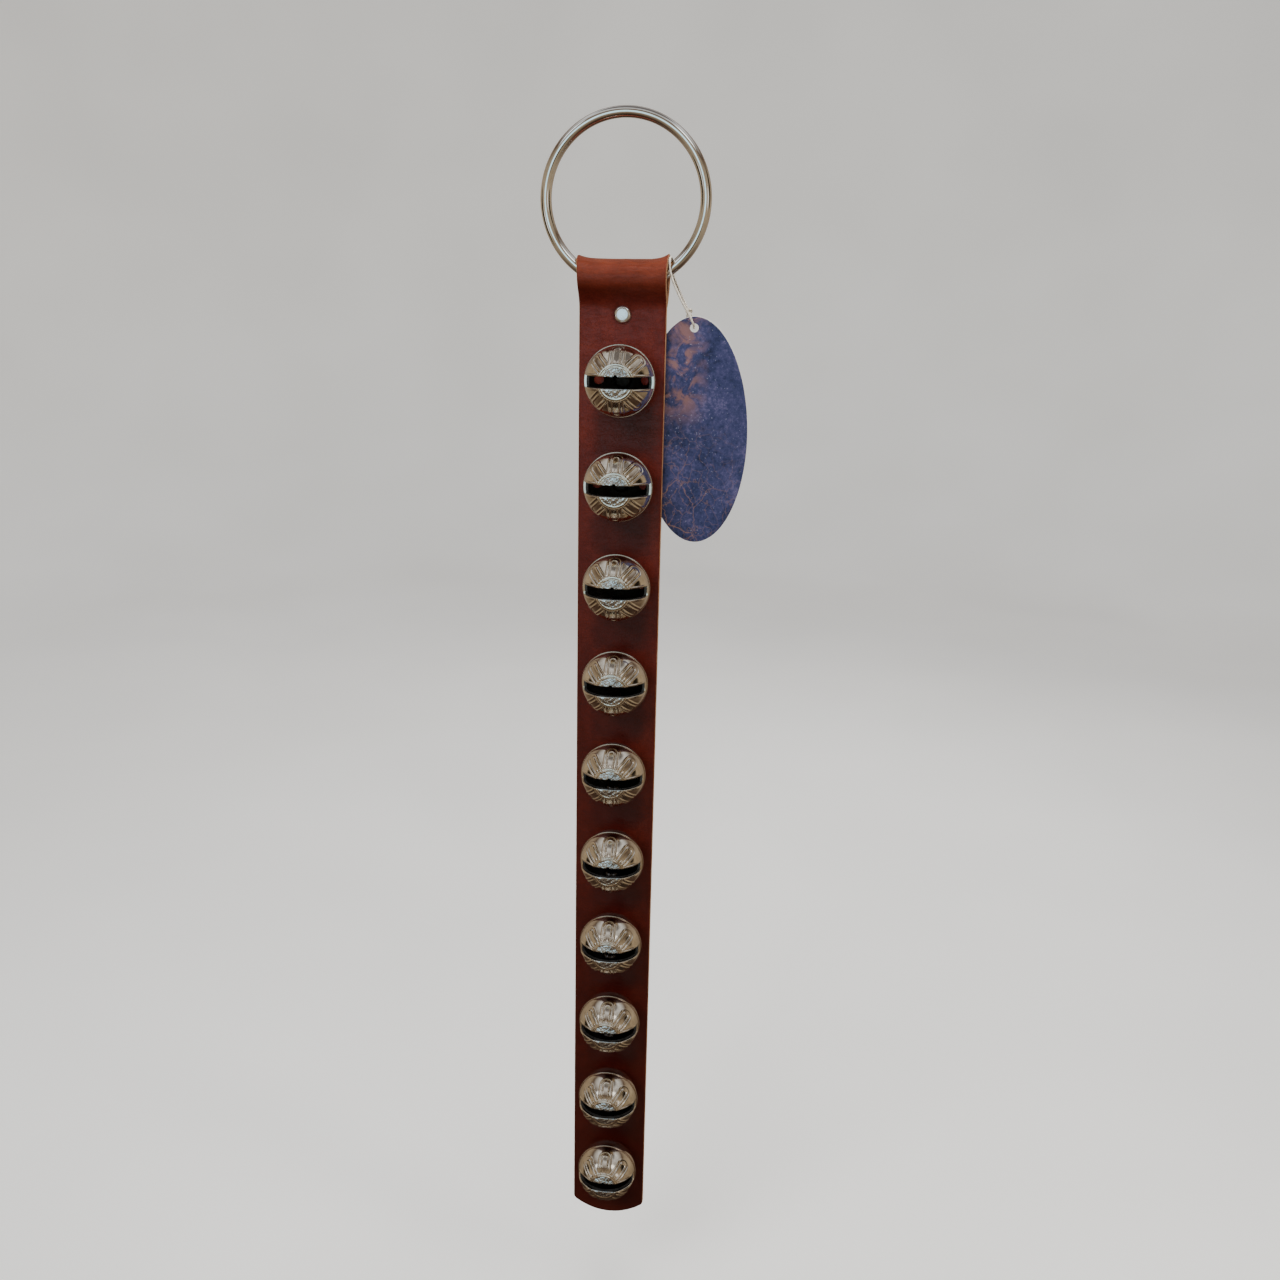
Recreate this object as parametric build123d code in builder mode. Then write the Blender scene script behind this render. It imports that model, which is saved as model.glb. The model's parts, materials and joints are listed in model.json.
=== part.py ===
from build123d import *
from math import acos, asin, cos, degrees, radians, sin, sqrt, tan
import os

os.makedirs("parts", exist_ok=True)

# Sleigh bells on a folded leather strap that hangs from a wire ring.
# Millimetres. +Z up, +X to the right as seen from the front, the front faces -Y.
# The origin is on the inside top of the ring, in its middle plane: the point that hangs on a hook.

# ---- driving dimensions ----

# ring
ring_inner_diameter = 63.5
ring_wire_diameter = 4.8

# leather strap
strap_width = 38.1
leather_thickness = 3.3
layer_gap = 0.1             # between the two layers under the loop rivet
loop_clearance = 0.15       # between the wire and the inside of the fold
loop_taper = 1.36           # length of the fold's neck, in fold radii
loop_bend_radius = 3.2      # where the neck turns into the flat layers, at mid thickness
tail_below_rivet = 12.0
end_below_last_bell = 39.4
end_arc_rise = 7.0          # the strap's lower end is a shallow arc
end_corner_radius = 3.5

# rivets
loop_rivet_head_diameter = 7.5
loop_rivet_head_height = 1.1
loop_rivet_land = 1.4       # flat leather above the head
rivet_shank_diameter = 3.8
rivet_hole_clearance = 0.05
bell_rivet_head_diameter = 8.0
bell_rivet_head_height = 1.5
burr_diameter = 9.0
burr_thickness = 1.0
head_flat = 0.55            # share of a head's radius that is flat
peened_diameter = 5.2
peened_height = 0.8

# bells
bell_count = 10
first_bell_below_rivet = 27.2
bell_pitch = 45.4
bell_right_of_middle = 1.0  # the bells are riveted a little right of the strap's middle
bell_diameter = 30.8
bell_wall = 2.4
front_depth = 14.4          # seam to front pole
seam_height = 12.6          # leather to seam
bell_seat_diameter = 11.0   # flat that sits on the leather
seam_band = 0.9             # the ridge round the waist, on the front shell
seam_ridge = 0.4            # how far it stands out
lip_height = 1.3            # lip of the rear shell, inside the front shell
lip_thickness = 1.1
lip_clearance = 0.05
slot_width = 4.8
slot_above_seam = 2.0
slot_nick_diameter = 1.6    # small casting nick in the middle of the slot's upper edge
core_hole_diameter = 3.8    # two in each rear shell, left by the casting's core
core_hole_from_axis = 10.0
pellet_diameter = 8.8
pellet_clearance = 0.3

# hang tag and its string
tag_width = 47.0
tag_height = 99.0
tag_thickness = 0.6
tag_gap = 0.4               # behind the strap
tag_centre_right = 32.5     # of the strap's middle
tag_centre_below_rivet = 49.5
tag_lean = 2.0              # degrees
tag_hole_diameter = 3.6
tag_hole_inset = 4.8        # from the tag's top edge to the hole's centre
string_diameter = 1.0
knot_width = 3.4
knot_height = 4.4

# ---- worked out from them ----

wire_radius = ring_wire_diameter / 2
ring_centre_radius = ring_inner_diameter / 2 + wire_radius
ring_centre_z = -ring_inner_diameter / 2


def wire_z(x):
    """Height of the middle of the ring's wire, low on the ring, at a place across it."""
    return ring_centre_z - sqrt(ring_centre_radius ** 2 - x ** 2)


# The fold's inside is a cylinder that the wire's arc just fits, so the strap turns about its axis.
wire_rise = wire_z(strap_width / 2) - wire_z(0)
wire_slope = asin(strap_width / 2 / ring_centre_radius)
swing_z = wire_z(0) + wire_rise / 2
loop_inner_radius = wire_rise / 2 + wire_radius / cos(wire_slope) + loop_clearance
loop_mid_radius = loop_inner_radius + leather_thickness / 2
layer_middle = (leather_thickness + layer_gap) / 2
neck_z = swing_z - loop_mid_radius * loop_taper
rivet_z = neck_z - loop_rivet_land - loop_rivet_head_diameter / 2
tail_z = rivet_z - tail_below_rivet
front_y = -layer_middle - leather_thickness / 2
front_back_y = front_y + leather_thickness
tail_back_y = -front_y
bell_z = [rivet_z - first_bell_below_rivet - bell_pitch * i for i in range(bell_count)]
end_z = bell_z[-1] - end_below_last_bell
shank_radius = rivet_shank_diameter / 2
hole_radius = shank_radius + rivet_hole_clearance

bell_radius = bell_diameter / 2
seat_radius = bell_seat_diameter / 2
dome_radius = bell_radius - seam_ridge
hollow_radius = bell_radius - bell_wall
lip_radius = hollow_radius + lip_thickness
rear_depth = seam_height / sqrt(1 - (seat_radius / dome_radius) ** 2)
pellet_radius = pellet_diameter / 2
pellet_orbit = hollow_radius - pellet_radius - pellet_clearance
seam_y = front_y - seam_height

tag_centre = (tag_centre_right, rivet_z - tag_centre_below_rivet)
tag_hole_reach = tag_height / 2 - tag_hole_inset
tag_hole = (
    tag_centre[0] - tag_hole_reach * sin(radians(tag_lean)),
    tag_centre[1] + tag_hole_reach * cos(radians(tag_lean)),
)
tag_front_y = front_back_y + tag_gap
tag_back_y = tag_front_y + tag_thickness

# ---- ring ----

with BuildPart() as ring:
    with BuildSketch(Plane.XY.offset(ring_centre_z)):
        with Locations((ring_centre_radius, 0)):
            Circle(wire_radius)
    revolve(axis=Axis((0, 0, ring_centre_z), (0, 1, 0)))
ring.part.label = "ring"
export_step(ring.part, "parts/ring.step")

# ---- strap: one strip, up the front, over the wire and down behind ----

neck_reach = sqrt(layer_middle ** 2 + (swing_z - neck_z) ** 2)
neck_turn = acos(loop_mid_radius / neck_reach) + asin(layer_middle / neck_reach)
fold_start_y = loop_mid_radius * sin(neck_turn)
fold_start_z = swing_z - loop_mid_radius * cos(neck_turn)
fold_top = (0, swing_z + loop_mid_radius)
end_arc_radius = ((strap_width / 2) ** 2 + end_arc_rise ** 2) / (2 * end_arc_rise)

with BuildPart() as strap:
    with BuildSketch(Plane.YZ):
        with BuildLine() as middle:
            Polyline((-layer_middle, end_z), (-layer_middle, neck_z), (-fold_start_y, fold_start_z))
            ThreePointArc((-fold_start_y, fold_start_z), fold_top, (fold_start_y, fold_start_z))
            Polyline((fold_start_y, fold_start_z), (layer_middle, neck_z), (layer_middle, tail_z))
            bends = middle.vertices().filter_by(lambda v: abs(v.Z - neck_z) < layer_gap)
            fillet(bends, radius=loop_bend_radius)
            offset(amount=leather_thickness / 2, side=Side.BOTH)
        make_face()
    extrude(amount=strap_width / 2, both=True)
    # lower end: a shallow arc between rounded corners
    with BuildSketch(Plane.XZ.offset(-front_back_y)):
        with Locations((0, end_z)):
            Rectangle(strap_width, 2 * end_arc_rise)
        with Locations((0, end_z + end_arc_radius)):
            Circle(end_arc_radius, mode=Mode.SUBTRACT)
    extrude(amount=leather_thickness, mode=Mode.SUBTRACT)
    end_corners = strap.edges().filter_by(Axis.Y).group_by(Axis.Z)[0]
    fillet(end_corners, radius=end_corner_radius)
    # tail behind: a half round end
    with BuildSketch(Plane.XZ.offset(-tail_back_y)):
        with Locations((0, tail_z)):
            Rectangle(strap_width, strap_width)
        with Locations((0, tail_z + strap_width / 2)):
            Circle(strap_width / 2, mode=Mode.SUBTRACT)
            Rectangle(strap_width, strap_width, align=(Align.CENTER, Align.MIN), mode=Mode.SUBTRACT)
    extrude(amount=leather_thickness, mode=Mode.SUBTRACT)
    # rivet holes
    with BuildSketch(Plane.XZ.offset(-tail_back_y)):
        with Locations((0, rivet_z), *[(bell_right_of_middle, z) for z in bell_z]):
            Circle(hole_radius)
    extrude(amount=tail_back_y - front_y, mode=Mode.SUBTRACT)
strap.part.label = "strap"
export_step(strap.part, "parts/strap.step")

# ---- rivets and burrs ----


def outward_plane(x, z):
    """Plane for a profile turned about the line that stands out of the strap's front at a place."""
    return Plane(origin=(x, front_y, z), x_dir=(1, 0, 0), z_dir=(0, 0, -1))


def outward_axis(x, z):
    return Axis((x, front_y, z), (0, -1, 0))


def rivet_profile(head_base, head_radius, head_height, peened_base):
    """Half section of a rivet: distance from its axis, and distance out of the strap's front."""
    head_top = head_base + head_height
    peened_top = peened_base - peened_height
    with BuildSketch() as profile:
        with BuildLine():
            head = Line((0, head_top), (head_radius * head_flat, head_top))
            TangentArc(head @ 1, (head_radius, head_base), tangent=(1, 0))
            Polyline(
                (head_radius, head_base),
                (shank_radius, head_base),
                (shank_radius, peened_base),
                (peened_diameter / 2, peened_base),
            )
            peened = Line((0, peened_top), (peened_diameter / 2 * head_flat, peened_top))
            TangentArc(peened @ 1, (peened_diameter / 2, peened_base), tangent=(1, 0))
            Line(peened @ 0, head @ 0)
        make_face()
    return profile.sketch


with BuildPart() as loop_rivet:
    with BuildSketch(outward_plane(0, rivet_z)):
        back = front_y - tail_back_y - burr_thickness
        add(rivet_profile(0, loop_rivet_head_diameter / 2, loop_rivet_head_height, back))
    revolve(axis=outward_axis(0, rivet_z))
loop_rivet.part.label = "loop_rivet"
export_step(loop_rivet.part, "parts/loop_rivet.step")

with BuildPart() as loop_rivet_burr:
    with BuildSketch(Plane.XZ.offset(-tail_back_y)):
        with Locations((0, rivet_z)):
            Circle(burr_diameter / 2)
            Circle(shank_radius, mode=Mode.SUBTRACT)
    extrude(amount=-burr_thickness)
loop_rivet_burr.part.label = "loop_rivet_burr"
export_step(loop_rivet_burr.part, "parts/loop_rivet_burr.step")

with BuildPart() as bell_rivets:
    for z in bell_z:
        with BuildSketch(outward_plane(bell_right_of_middle, z)):
            back = -leather_thickness - burr_thickness
            add(rivet_profile(bell_wall, bell_rivet_head_diameter / 2, bell_rivet_head_height, back))
        revolve(axis=outward_axis(bell_right_of_middle, z))
bell_rivets.part.label = "bell_rivets"
export_step(bell_rivets.part, "parts/bell_rivets.step")

with BuildPart() as bell_rivet_burrs:
    with BuildSketch(Plane.XZ.offset(-front_back_y)):
        with Locations(*[(bell_right_of_middle, z) for z in bell_z]):
            Circle(burr_diameter / 2)
            Circle(shank_radius, mode=Mode.SUBTRACT)
    extrude(amount=-burr_thickness)
bell_rivet_burrs.part.label = "bell_rivet_burrs"
export_step(bell_rivet_burrs.part, "parts/bell_rivet_burrs.step")

# ---- bells: a plain rear shell, a slotted front shell, a loose ball ----


def rear_profile():
    """Half section of the rear shell, with the lip that goes inside the front shell."""
    floor_angle = degrees(asin((seam_height - bell_wall) / (rear_depth - bell_wall)))
    seat_angle = degrees(asin(seam_height / rear_depth))
    seam = (0, seam_height)
    with BuildSketch() as profile:
        with BuildLine():
            outer = EllipticalCenterArc(
                seam, dome_radius, rear_depth, start_angle=-seat_angle, arc_size=seat_angle
            )
            Polyline(
                outer @ 1,
                (lip_radius, seam_height),
                (lip_radius, seam_height + lip_height),
                (hollow_radius, seam_height + lip_height),
                (hollow_radius, seam_height),
            )
            inner = EllipticalCenterArc(
                seam,
                hollow_radius,
                rear_depth - bell_wall,
                start_angle=-floor_angle,
                arc_size=floor_angle,
            )
            Polyline(inner @ 0, (hole_radius, bell_wall), (hole_radius, 0), outer @ 0)
        make_face()
    return profile.sketch


def front_profile():
    """Half section of the front shell: waist ridge, dome, and the rebate for the lip."""
    rebate_radius = lip_radius + lip_clearance
    rebate_top = seam_height + lip_height + lip_clearance
    ridge_top = seam_height + seam_band
    pole = seam_height + front_depth
    with BuildSketch() as profile:
        with BuildLine():
            outer = EllipticalCenterArc(
                (0, ridge_top), dome_radius, pole - ridge_top, start_angle=0, arc_size=90
            )
            inner = EllipticalCenterArc(
                (0, rebate_top),
                hollow_radius,
                pole - bell_wall - rebate_top,
                start_angle=0,
                arc_size=90,
            )
            Line(outer @ 1, inner @ 1)
            Polyline(
                inner @ 0,
                (rebate_radius, rebate_top),
                (rebate_radius, seam_height),
                (bell_radius, seam_height),
                (bell_radius, ridge_top),
                outer @ 0,
            )
        make_face()
    return profile.sketch


for number, z in enumerate(bell_z, start=1):
    seat_plane = Plane(origin=(bell_right_of_middle, front_y, z), x_dir=(1, 0, 0), z_dir=(0, -1, 0))
    with BuildPart() as rear_shell:
        with BuildSketch(outward_plane(bell_right_of_middle, z)):
            add(rear_profile())
        revolve(axis=outward_axis(bell_right_of_middle, z))
        with BuildSketch(seat_plane):
            with Locations((-core_hole_from_axis, 0), (core_hole_from_axis, 0)):
                Circle(core_hole_diameter / 2)
        extrude(amount=seam_height, mode=Mode.SUBTRACT)
    rear_shell.part.label = f"bell_{number:02d}_rear_shell"
    export_step(rear_shell.part, f"parts/bell_{number:02d}_rear_shell.step")

    with BuildPart() as front_shell:
        with BuildSketch(outward_plane(bell_right_of_middle, z)):
            add(front_profile())
        revolve(axis=outward_axis(bell_right_of_middle, z))
        with BuildSketch(seat_plane.offset(seam_height + slot_above_seam)):
            Rectangle(bell_diameter, slot_width)
            with Locations((0, slot_width / 2)):
                Circle(slot_nick_diameter / 2)
        extrude(amount=front_depth, mode=Mode.SUBTRACT)
    front_shell.part.label = f"bell_{number:02d}_front_shell"
    export_step(front_shell.part, f"parts/bell_{number:02d}_front_shell.step")

    with BuildPart() as pellet:
        with Locations((bell_right_of_middle, seam_y, z - pellet_orbit)):
            Sphere(pellet_radius)
    pellet.part.label = f"bell_{number:02d}_pellet"
    export_step(pellet.part, f"parts/bell_{number:02d}_pellet.step")

# ---- hang tag on its string ----

with BuildPart() as tag:
    with BuildSketch(Plane.XZ.offset(-tag_back_y)):
        with Locations(Location(tag_centre, tag_lean)):
            Ellipse(tag_width / 2, tag_height / 2)
        with Locations(tag_hole):
            Circle(tag_hole_diameter / 2, mode=Mode.SUBTRACT)
    extrude(amount=tag_thickness)
tag.part.label = "tag"
export_step(tag.part, "parts/tag.step")

# From the knot up behind the wire, over it, down in front, through the tag's hole and back up.
string_points = [
    (27.9, 2.9, -76.4),
    (25.2, 4.1, -71.0),
    (22.2, 5.0, -65.6),
    (20.1, 5.5, -60.2),
    (20.0, 5.5, -54.6),
    (20.0, -5.5, -54.6),
    (20.1, -5.4, -60.4),
    (22.6, -4.6, -66.9),
    (26.3, -3.0, -74.0),
    (29.3, -1.5, -79.0),
    (30.7, -1.2, -82.3),
    (30.7, 2.5, -82.3),
    (28.3, 3.0, -77.2),
]


def bend_radii(points, share=0.45):
    """The largest arcs that fit at the corners of a route."""
    radii = []
    for before, corner, after in zip(points, points[1:], points[2:]):
        arriving = Vector(corner) - Vector(before)
        leaving = Vector(after) - Vector(corner)
        half_turn = radians(arriving.get_angle(leaving)) / 2
        radii.append(share * min(arriving.length, leaving.length) / tan(half_turn))
    return radii


string_radii = bend_radii(string_points)
print("string bend radii", [round(radius, 1) for radius in string_radii])

with BuildPart() as tag_string:
    with BuildLine() as route:
        FilletPolyline(*string_points, radius=string_radii)
    with BuildSketch(Plane(origin=route.line @ 0, z_dir=route.line % 0)):
        Circle(string_diameter / 2)
    sweep()
tag_string.part.label = "tag_string"
export_step(tag_string.part, "parts/tag_string.step")
print("string length", round(route.wires()[0].length, 1))

knot_centre = (Vector(string_points[0]) + Vector(string_points[-1])) / 2
with BuildPart() as string_knot:
    with BuildSketch(Plane(origin=knot_centre, x_dir=(1, 0, 0), z_dir=(0, -1, 0))):
        Ellipse(knot_width / 2, knot_height / 2)
        Rectangle(knot_width, knot_height, align=(Align.MAX, Align.CENTER), mode=Mode.SUBTRACT)
    revolve(axis=Axis(knot_centre, (0, 0, 1)))
string_knot.part.label = "string_knot"
export_step(string_knot.part, "parts/string_knot.step")
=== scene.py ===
import json
import math

import bmesh
import bpy
import numpy as np
from mathutils import Matrix, Vector, noise


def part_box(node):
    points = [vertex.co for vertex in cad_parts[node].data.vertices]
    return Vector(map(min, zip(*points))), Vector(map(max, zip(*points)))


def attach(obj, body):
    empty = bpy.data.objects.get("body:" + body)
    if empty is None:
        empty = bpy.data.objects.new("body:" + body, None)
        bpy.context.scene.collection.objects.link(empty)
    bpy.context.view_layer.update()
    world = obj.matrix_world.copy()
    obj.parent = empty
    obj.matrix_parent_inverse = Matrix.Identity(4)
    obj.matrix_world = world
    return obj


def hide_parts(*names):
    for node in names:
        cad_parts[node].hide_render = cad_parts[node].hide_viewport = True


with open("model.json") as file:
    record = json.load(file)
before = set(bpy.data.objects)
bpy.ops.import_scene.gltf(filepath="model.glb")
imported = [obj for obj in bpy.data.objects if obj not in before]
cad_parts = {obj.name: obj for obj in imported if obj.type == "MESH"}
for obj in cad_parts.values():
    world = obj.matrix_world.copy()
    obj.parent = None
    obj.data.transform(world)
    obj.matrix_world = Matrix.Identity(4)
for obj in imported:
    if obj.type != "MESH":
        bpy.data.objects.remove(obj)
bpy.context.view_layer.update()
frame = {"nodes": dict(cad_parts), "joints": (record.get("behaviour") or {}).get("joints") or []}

mm = 0.001
joints = {joint["name"]: joint for joint in frame["joints"]}
bellNames = sorted(name[:7] for name in frame["nodes"] if name.endswith("_front_shell"))

# places that the frame gives, in millimetres
strapLow, strapHigh = [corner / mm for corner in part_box("strap")]
ringLow, ringHigh = [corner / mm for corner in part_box("ring")]
headLow, headHigh = [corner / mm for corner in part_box("loop_rivet")]
burrLow, burrHigh = [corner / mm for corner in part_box("bell_rivet_burrs")]
loopBurrLow, loopBurrHigh = [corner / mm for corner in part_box("loop_rivet_burr")]
seatLow, seatHigh = [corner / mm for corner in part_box(bellNames[0] + "_rear_shell")]
domeLow, domeHigh = [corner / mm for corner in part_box(bellNames[0] + "_front_shell")]
strapWidth = strapHigh.x - strapLow.x
leatherFront = seatHigh.y
leatherBack = burrLow.y
leather = leatherBack - leatherFront
layerMiddle = -(leatherFront + leatherBack) / 2
swingZ = joints["strap_swing"]["pos_m"][2] / mm
rivetZ = (headLow.z + headHigh.z) / 2
bellX = (domeLow.x + domeHigh.x) / 2
bellZ = []
for bellName in bellNames:
    low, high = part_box(bellName + "_front_shell")
    bellZ.append((low.z + high.z) / 2 / mm)
print("frame read:", len(bellNames), "bells, strap", round(strapWidth, 1), "mm wide")


class Link:
    # wraps one socket, so that shader maths reads as plain sums
    def __init__(self, finish, socket):
        self.finish = finish
        self.socket = socket

    def sum(self, operation, first, second):
        return self.finish.node("ShaderNodeMath", {"operation": operation}, {0: first, 1: second})

    def __add__(self, other):
        return self.sum("ADD", self, other)

    def __radd__(self, other):
        return self.sum("ADD", other, self)

    def __sub__(self, other):
        return self.sum("SUBTRACT", self, other)

    def __rsub__(self, other):
        return self.sum("SUBTRACT", other, self)

    def __mul__(self, other):
        return self.sum("MULTIPLY", self, other)

    def __rmul__(self, other):
        return self.sum("MULTIPLY", other, self)

    def __truediv__(self, other):
        return self.sum("DIVIDE", self, other)

    def __pow__(self, other):
        return self.sum("POWER", self, other)


class Finish:
    # a material, or the world, with its node tree
    def __init__(self, name, owner=None):
        self.owner = owner or bpy.data.materials.new(name)
        self.owner.use_nodes = True
        self.tree = self.owner.node_tree
        self.shader = self.tree.nodes.get("Principled BSDF")

    def node(self, kind, settings=None, sockets=None, out=0):
        made = self.tree.nodes.new(kind)
        for key, value in (settings or {}).items():
            if key == "stops":
                ramp = made.color_ramp
                while len(ramp.elements) < len(value):
                    ramp.elements.new(0.5)
                for element, (place, colour) in zip(ramp.elements, value):
                    element.position = place
                    element.color = colour if len(colour) == 4 else (*colour, 1)
            else:
                setattr(made, key, value)
        for key, value in (sockets or {}).items():
            if isinstance(value, Link):
                self.tree.links.new(value.socket, made.inputs[key])
            else:
                made.inputs[key].default_value = value
        return Link(self, made.outputs[out])

    def place(self, scale=(1, 1, 1)):
        where = self.node("ShaderNodeTexCoord", out="Object")
        return self.node("ShaderNodeMapping", {}, {"Vector": where, "Scale": scale})

    def noise(self, where, size, detail=3.0, rough=0.55, warp=0.0):
        # size is that of one blotch, in millimetres
        sockets = {"Scale": 1 / (size * mm), "Detail": detail, "Roughness": rough, "Distortion": warp}
        return self.node("ShaderNodeTexNoise", {}, {"Vector": where, **sockets})

    def ramp(self, value, *stops):
        return self.node("ShaderNodeValToRGB", {"stops": stops}, {"Fac": value})

    def clamp(self, value, low, high, toLow=0.0, toHigh=1.0):
        sockets = {"From Min": low, "From Max": high, "To Min": toLow, "To Max": toHigh}
        return self.node("ShaderNodeMapRange", {}, {"Value": value, **sockets})

    def mix(self, share, first, second):
        return self.node("ShaderNodeMix", {"data_type": "RGBA"}, {0: share, 6: first, 7: second}, out=2)

    def bump(self, height, strength, depth):
        # depth in millimetres
        return self.node(
            "ShaderNodeBump", {}, {"Height": height, "Strength": strength, "Distance": depth * mm}
        )

    def part(self, axis):
        # one of the three places of a point, in metres
        return self.node("ShaderNodeSeparateXYZ", {}, {"Vector": self.place()}, out=axis)

    def wear(self, **sockets):
        for key, value in sockets.items():
            socket = self.shader.inputs[key.replace("_", " ")]
            if isinstance(value, Link):
                self.tree.links.new(value.socket, socket)
            else:
                socket.default_value = value
        return self.owner


def addObject(name, data):
    made = bpy.data.objects.new(name, data)
    bpy.context.scene.collection.objects.link(made)
    return made


def meshOf(name, points, faces, sharp=55):
    # points in millimetres, creases sharper than so many degrees stay crisp
    mesh = bpy.data.meshes.new(name)
    mesh.from_pydata([tuple(mm * c for c in p) for p in points], [], faces)
    tidyMesh(mesh, sharp)
    return mesh


def tidyMesh(mesh, sharp):
    mesh.validate()
    shell = bmesh.new()
    shell.from_mesh(mesh)
    bmesh.ops.recalc_face_normals(shell, faces=shell.faces)
    for face in shell.faces:
        face.smooth = True
    shell.to_mesh(mesh)
    shell.free()
    mesh.set_sharp_from_angle(angle=math.radians(sharp))


def dress(mesh, materials, kinds=None):
    # kinds says which of the materials each face has
    for material in materials:
        mesh.materials.append(material)
    if kinds is not None:
        mesh.polygons.foreach_set("material_index", kinds)


def finishPiece(piece, body, nodes):
    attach(piece, body)
    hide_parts(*nodes)


def makePiece(name, points, faces, body, slot, materials, nodes, kinds=None):
    piece = addObject(name, meshOf(name, points, faces))
    dress(piece.data, materials, kinds)
    finishPiece(piece, body, nodes)
    return piece


def arcAngles(last, steps):
    # angles in radians from the first step to last, without 0
    return [last * k / steps for k in range(1, steps + 1)]


def lengthsAlong(path):
    return np.concatenate([[0], np.cumsum(np.linalg.norm(np.diff(path, axis=0), axis=1))])


def loopFaces(rows, around, closed=False):
    # quads between rows of points that each go once around
    faces = []
    for i in range(rows if closed else rows - 1):
        here, there = i * around, (i + 1) % rows * around
        for k in range(around):
            n = (k + 1) % around
            faces.append((here + k, here + n, there + n, there + k))
    return faces


def lathe(profile, around, closed=True):
    # turns (radius, out) points about the line that stands out of the strap's front
    points, faces = [], []
    count = len(profile)
    for turn in range(around):
        angle = 2 * math.pi * turn / around
        for radius, out in profile:
            points.append((radius * math.cos(angle), -out, radius * math.sin(angle)))
    for turn in range(around):
        here, there = turn * count, (turn + 1) % around * count
        for row in range(count if closed else count - 1):
            after = (row + 1) % count
            faces.append((here + row, here + after, there + after, there + row))
    return points, faces


def weld(points, faces):
    # joins points that lie together, drops the faces that this closes up
    shell = bmesh.new()
    verts = [shell.verts.new(point) for point in points]
    for face in faces:
        shell.faces.new([verts[i] for i in face])
    bmesh.ops.remove_doubles(shell, verts=shell.verts, dist=1e-4)
    shell.verts.index_update()
    points = [tuple(v.co) for v in shell.verts]
    faces = [tuple(v.index for v in face.verts) for face in shell.faces]
    shell.free()
    return points, faces


def grid(rows, flip=False):
    # quads over rows of equally many points
    points = [tuple(p) for row in rows for p in row]
    wide = len(rows[0])
    faces = []
    for i in range(len(rows) - 1):
        for j in range(wide - 1):
            quad = (i * wide + j, i * wide + j + 1, (i + 1) * wide + j + 1, (i + 1) * wide + j)
            faces.append(quad[::-1] if flip else quad)
    return points, faces


def joinParts(parts):
    points, faces = [], []
    for morePoints, moreFaces in parts:
        start = len(points)
        points.extend(morePoints)
        faces.extend(tuple(i + start for i in face) for face in moreFaces)
    return points, faces


camera = {
    "place": (70.2, -508.6, 6.4 + rivetZ),   # mm
    "lens": 31.97,
    "yaw": -6.71,
    "down": 16.67,
    "roll": -1.29,
}


def makeCamera():
    data = bpy.data.cameras.new("camera")
    data.lens = camera["lens"]
    data.sensor_width = 36
    data.clip_start = 0.01
    view = addObject("camera", data)
    yaw, down, roll = [math.radians(camera[key]) for key in ("yaw", "down", "roll")]
    ahead = Vector((math.sin(yaw) * math.cos(down), math.cos(yaw) * math.cos(down), -math.sin(down)))
    right = Vector((math.cos(yaw), -math.sin(yaw), 0))
    under = ahead.cross(right)
    rightTilted = right * math.cos(roll) + under * math.sin(roll)
    underTilted = under * math.cos(roll) - right * math.sin(roll)
    turn = Matrix((rightTilted, -underTilted, -ahead)).transposed()
    view.matrix_world = Matrix.Translation(Vector(camera["place"]) * mm) @ turn.to_4x4()
    bpy.context.scene.camera = view


makeCamera()
print("camera ready")


string = {
    "diameter": 1.0,
    "strands": 3,
    "strandDiameter": 0.52,
    "twist": 3.6,          # mm for one turn of the strands
    "endDiameter": 0.95,   # the knot's cut ends
    "points": [            # mm, from the knot over the ring and back through the tag's hole
        (27.9, 2.9, -76.4), (25.2, 4.1, -71.0), (22.2, 5.0, -65.6), (20.1, 5.5, -60.2),
        (20.0, 5.5, -54.6), (20.0, -5.5, -54.6), (20.1, -5.4, -60.4), (22.6, -4.6, -66.9),
        (26.3, -3.0, -74.0), (29.3, -1.5, -79.0), (30.7, -1.2, -82.3), (30.7, 2.5, -82.3),
        (28.3, 3.0, -77.2),
    ],
}


def roughFinish(name, fine, broad, share, stops, rough, relief, metal=0.0):
    # fine grain over broad patches; share is how much of the colour follows the grain
    finish = Finish(name)
    where = finish.place()
    grain = finish.noise(where, *fine)
    patch = finish.noise(where, *broad)
    return finish.wear(
        Base_Color=finish.ramp(grain * share + patch * (1 - share), *stops),
        Metallic=metal,
        Roughness=finish.clamp(grain, *rough),
        Normal=finish.bump(grain, *relief),
    )


twine = roughFinish(
    "twine", (0.25, 3.0, 0.7), (3.0, 4.0), 0.4, [(0.3, (0.46, 0.41, 0.34)), (0.7, (0.78, 0.75, 0.68))],
    (0.2, 0.8, 0.75, 0.95), (0.6, 0.08),
)


def routeOf(points):
    # a smooth line that is drawn toward the points
    curve = bpy.data.curves.new("route", "CURVE")
    curve.dimensions = "3D"
    curve.resolution_u = 24
    spline = curve.splines.new("NURBS")
    spline.points.add(len(points) - 1)
    for spot, point in zip(spline.points, points):
        spot.co = (*[c * mm for c in point], 1)
    spline.order_u = 3
    spline.use_endpoint_u = True
    holder = addObject("route", curve)
    bpy.context.view_layer.update()
    mesh = bpy.data.meshes.new_from_object(holder)
    found = [v.co / mm for v in mesh.vertices]
    bpy.data.objects.remove(holder)
    bpy.data.meshes.remove(mesh)
    return found


def evenly(points, step):
    spaced = np.array(points)
    lengths = lengthsAlong(spaced)
    count = max(2, int(lengths[-1] / step) + 1)
    places = np.linspace(0, lengths[-1], count)
    return np.stack([np.interp(places, lengths, spaced[:, k]) for k in range(3)], 1), lengths[-1]


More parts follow.
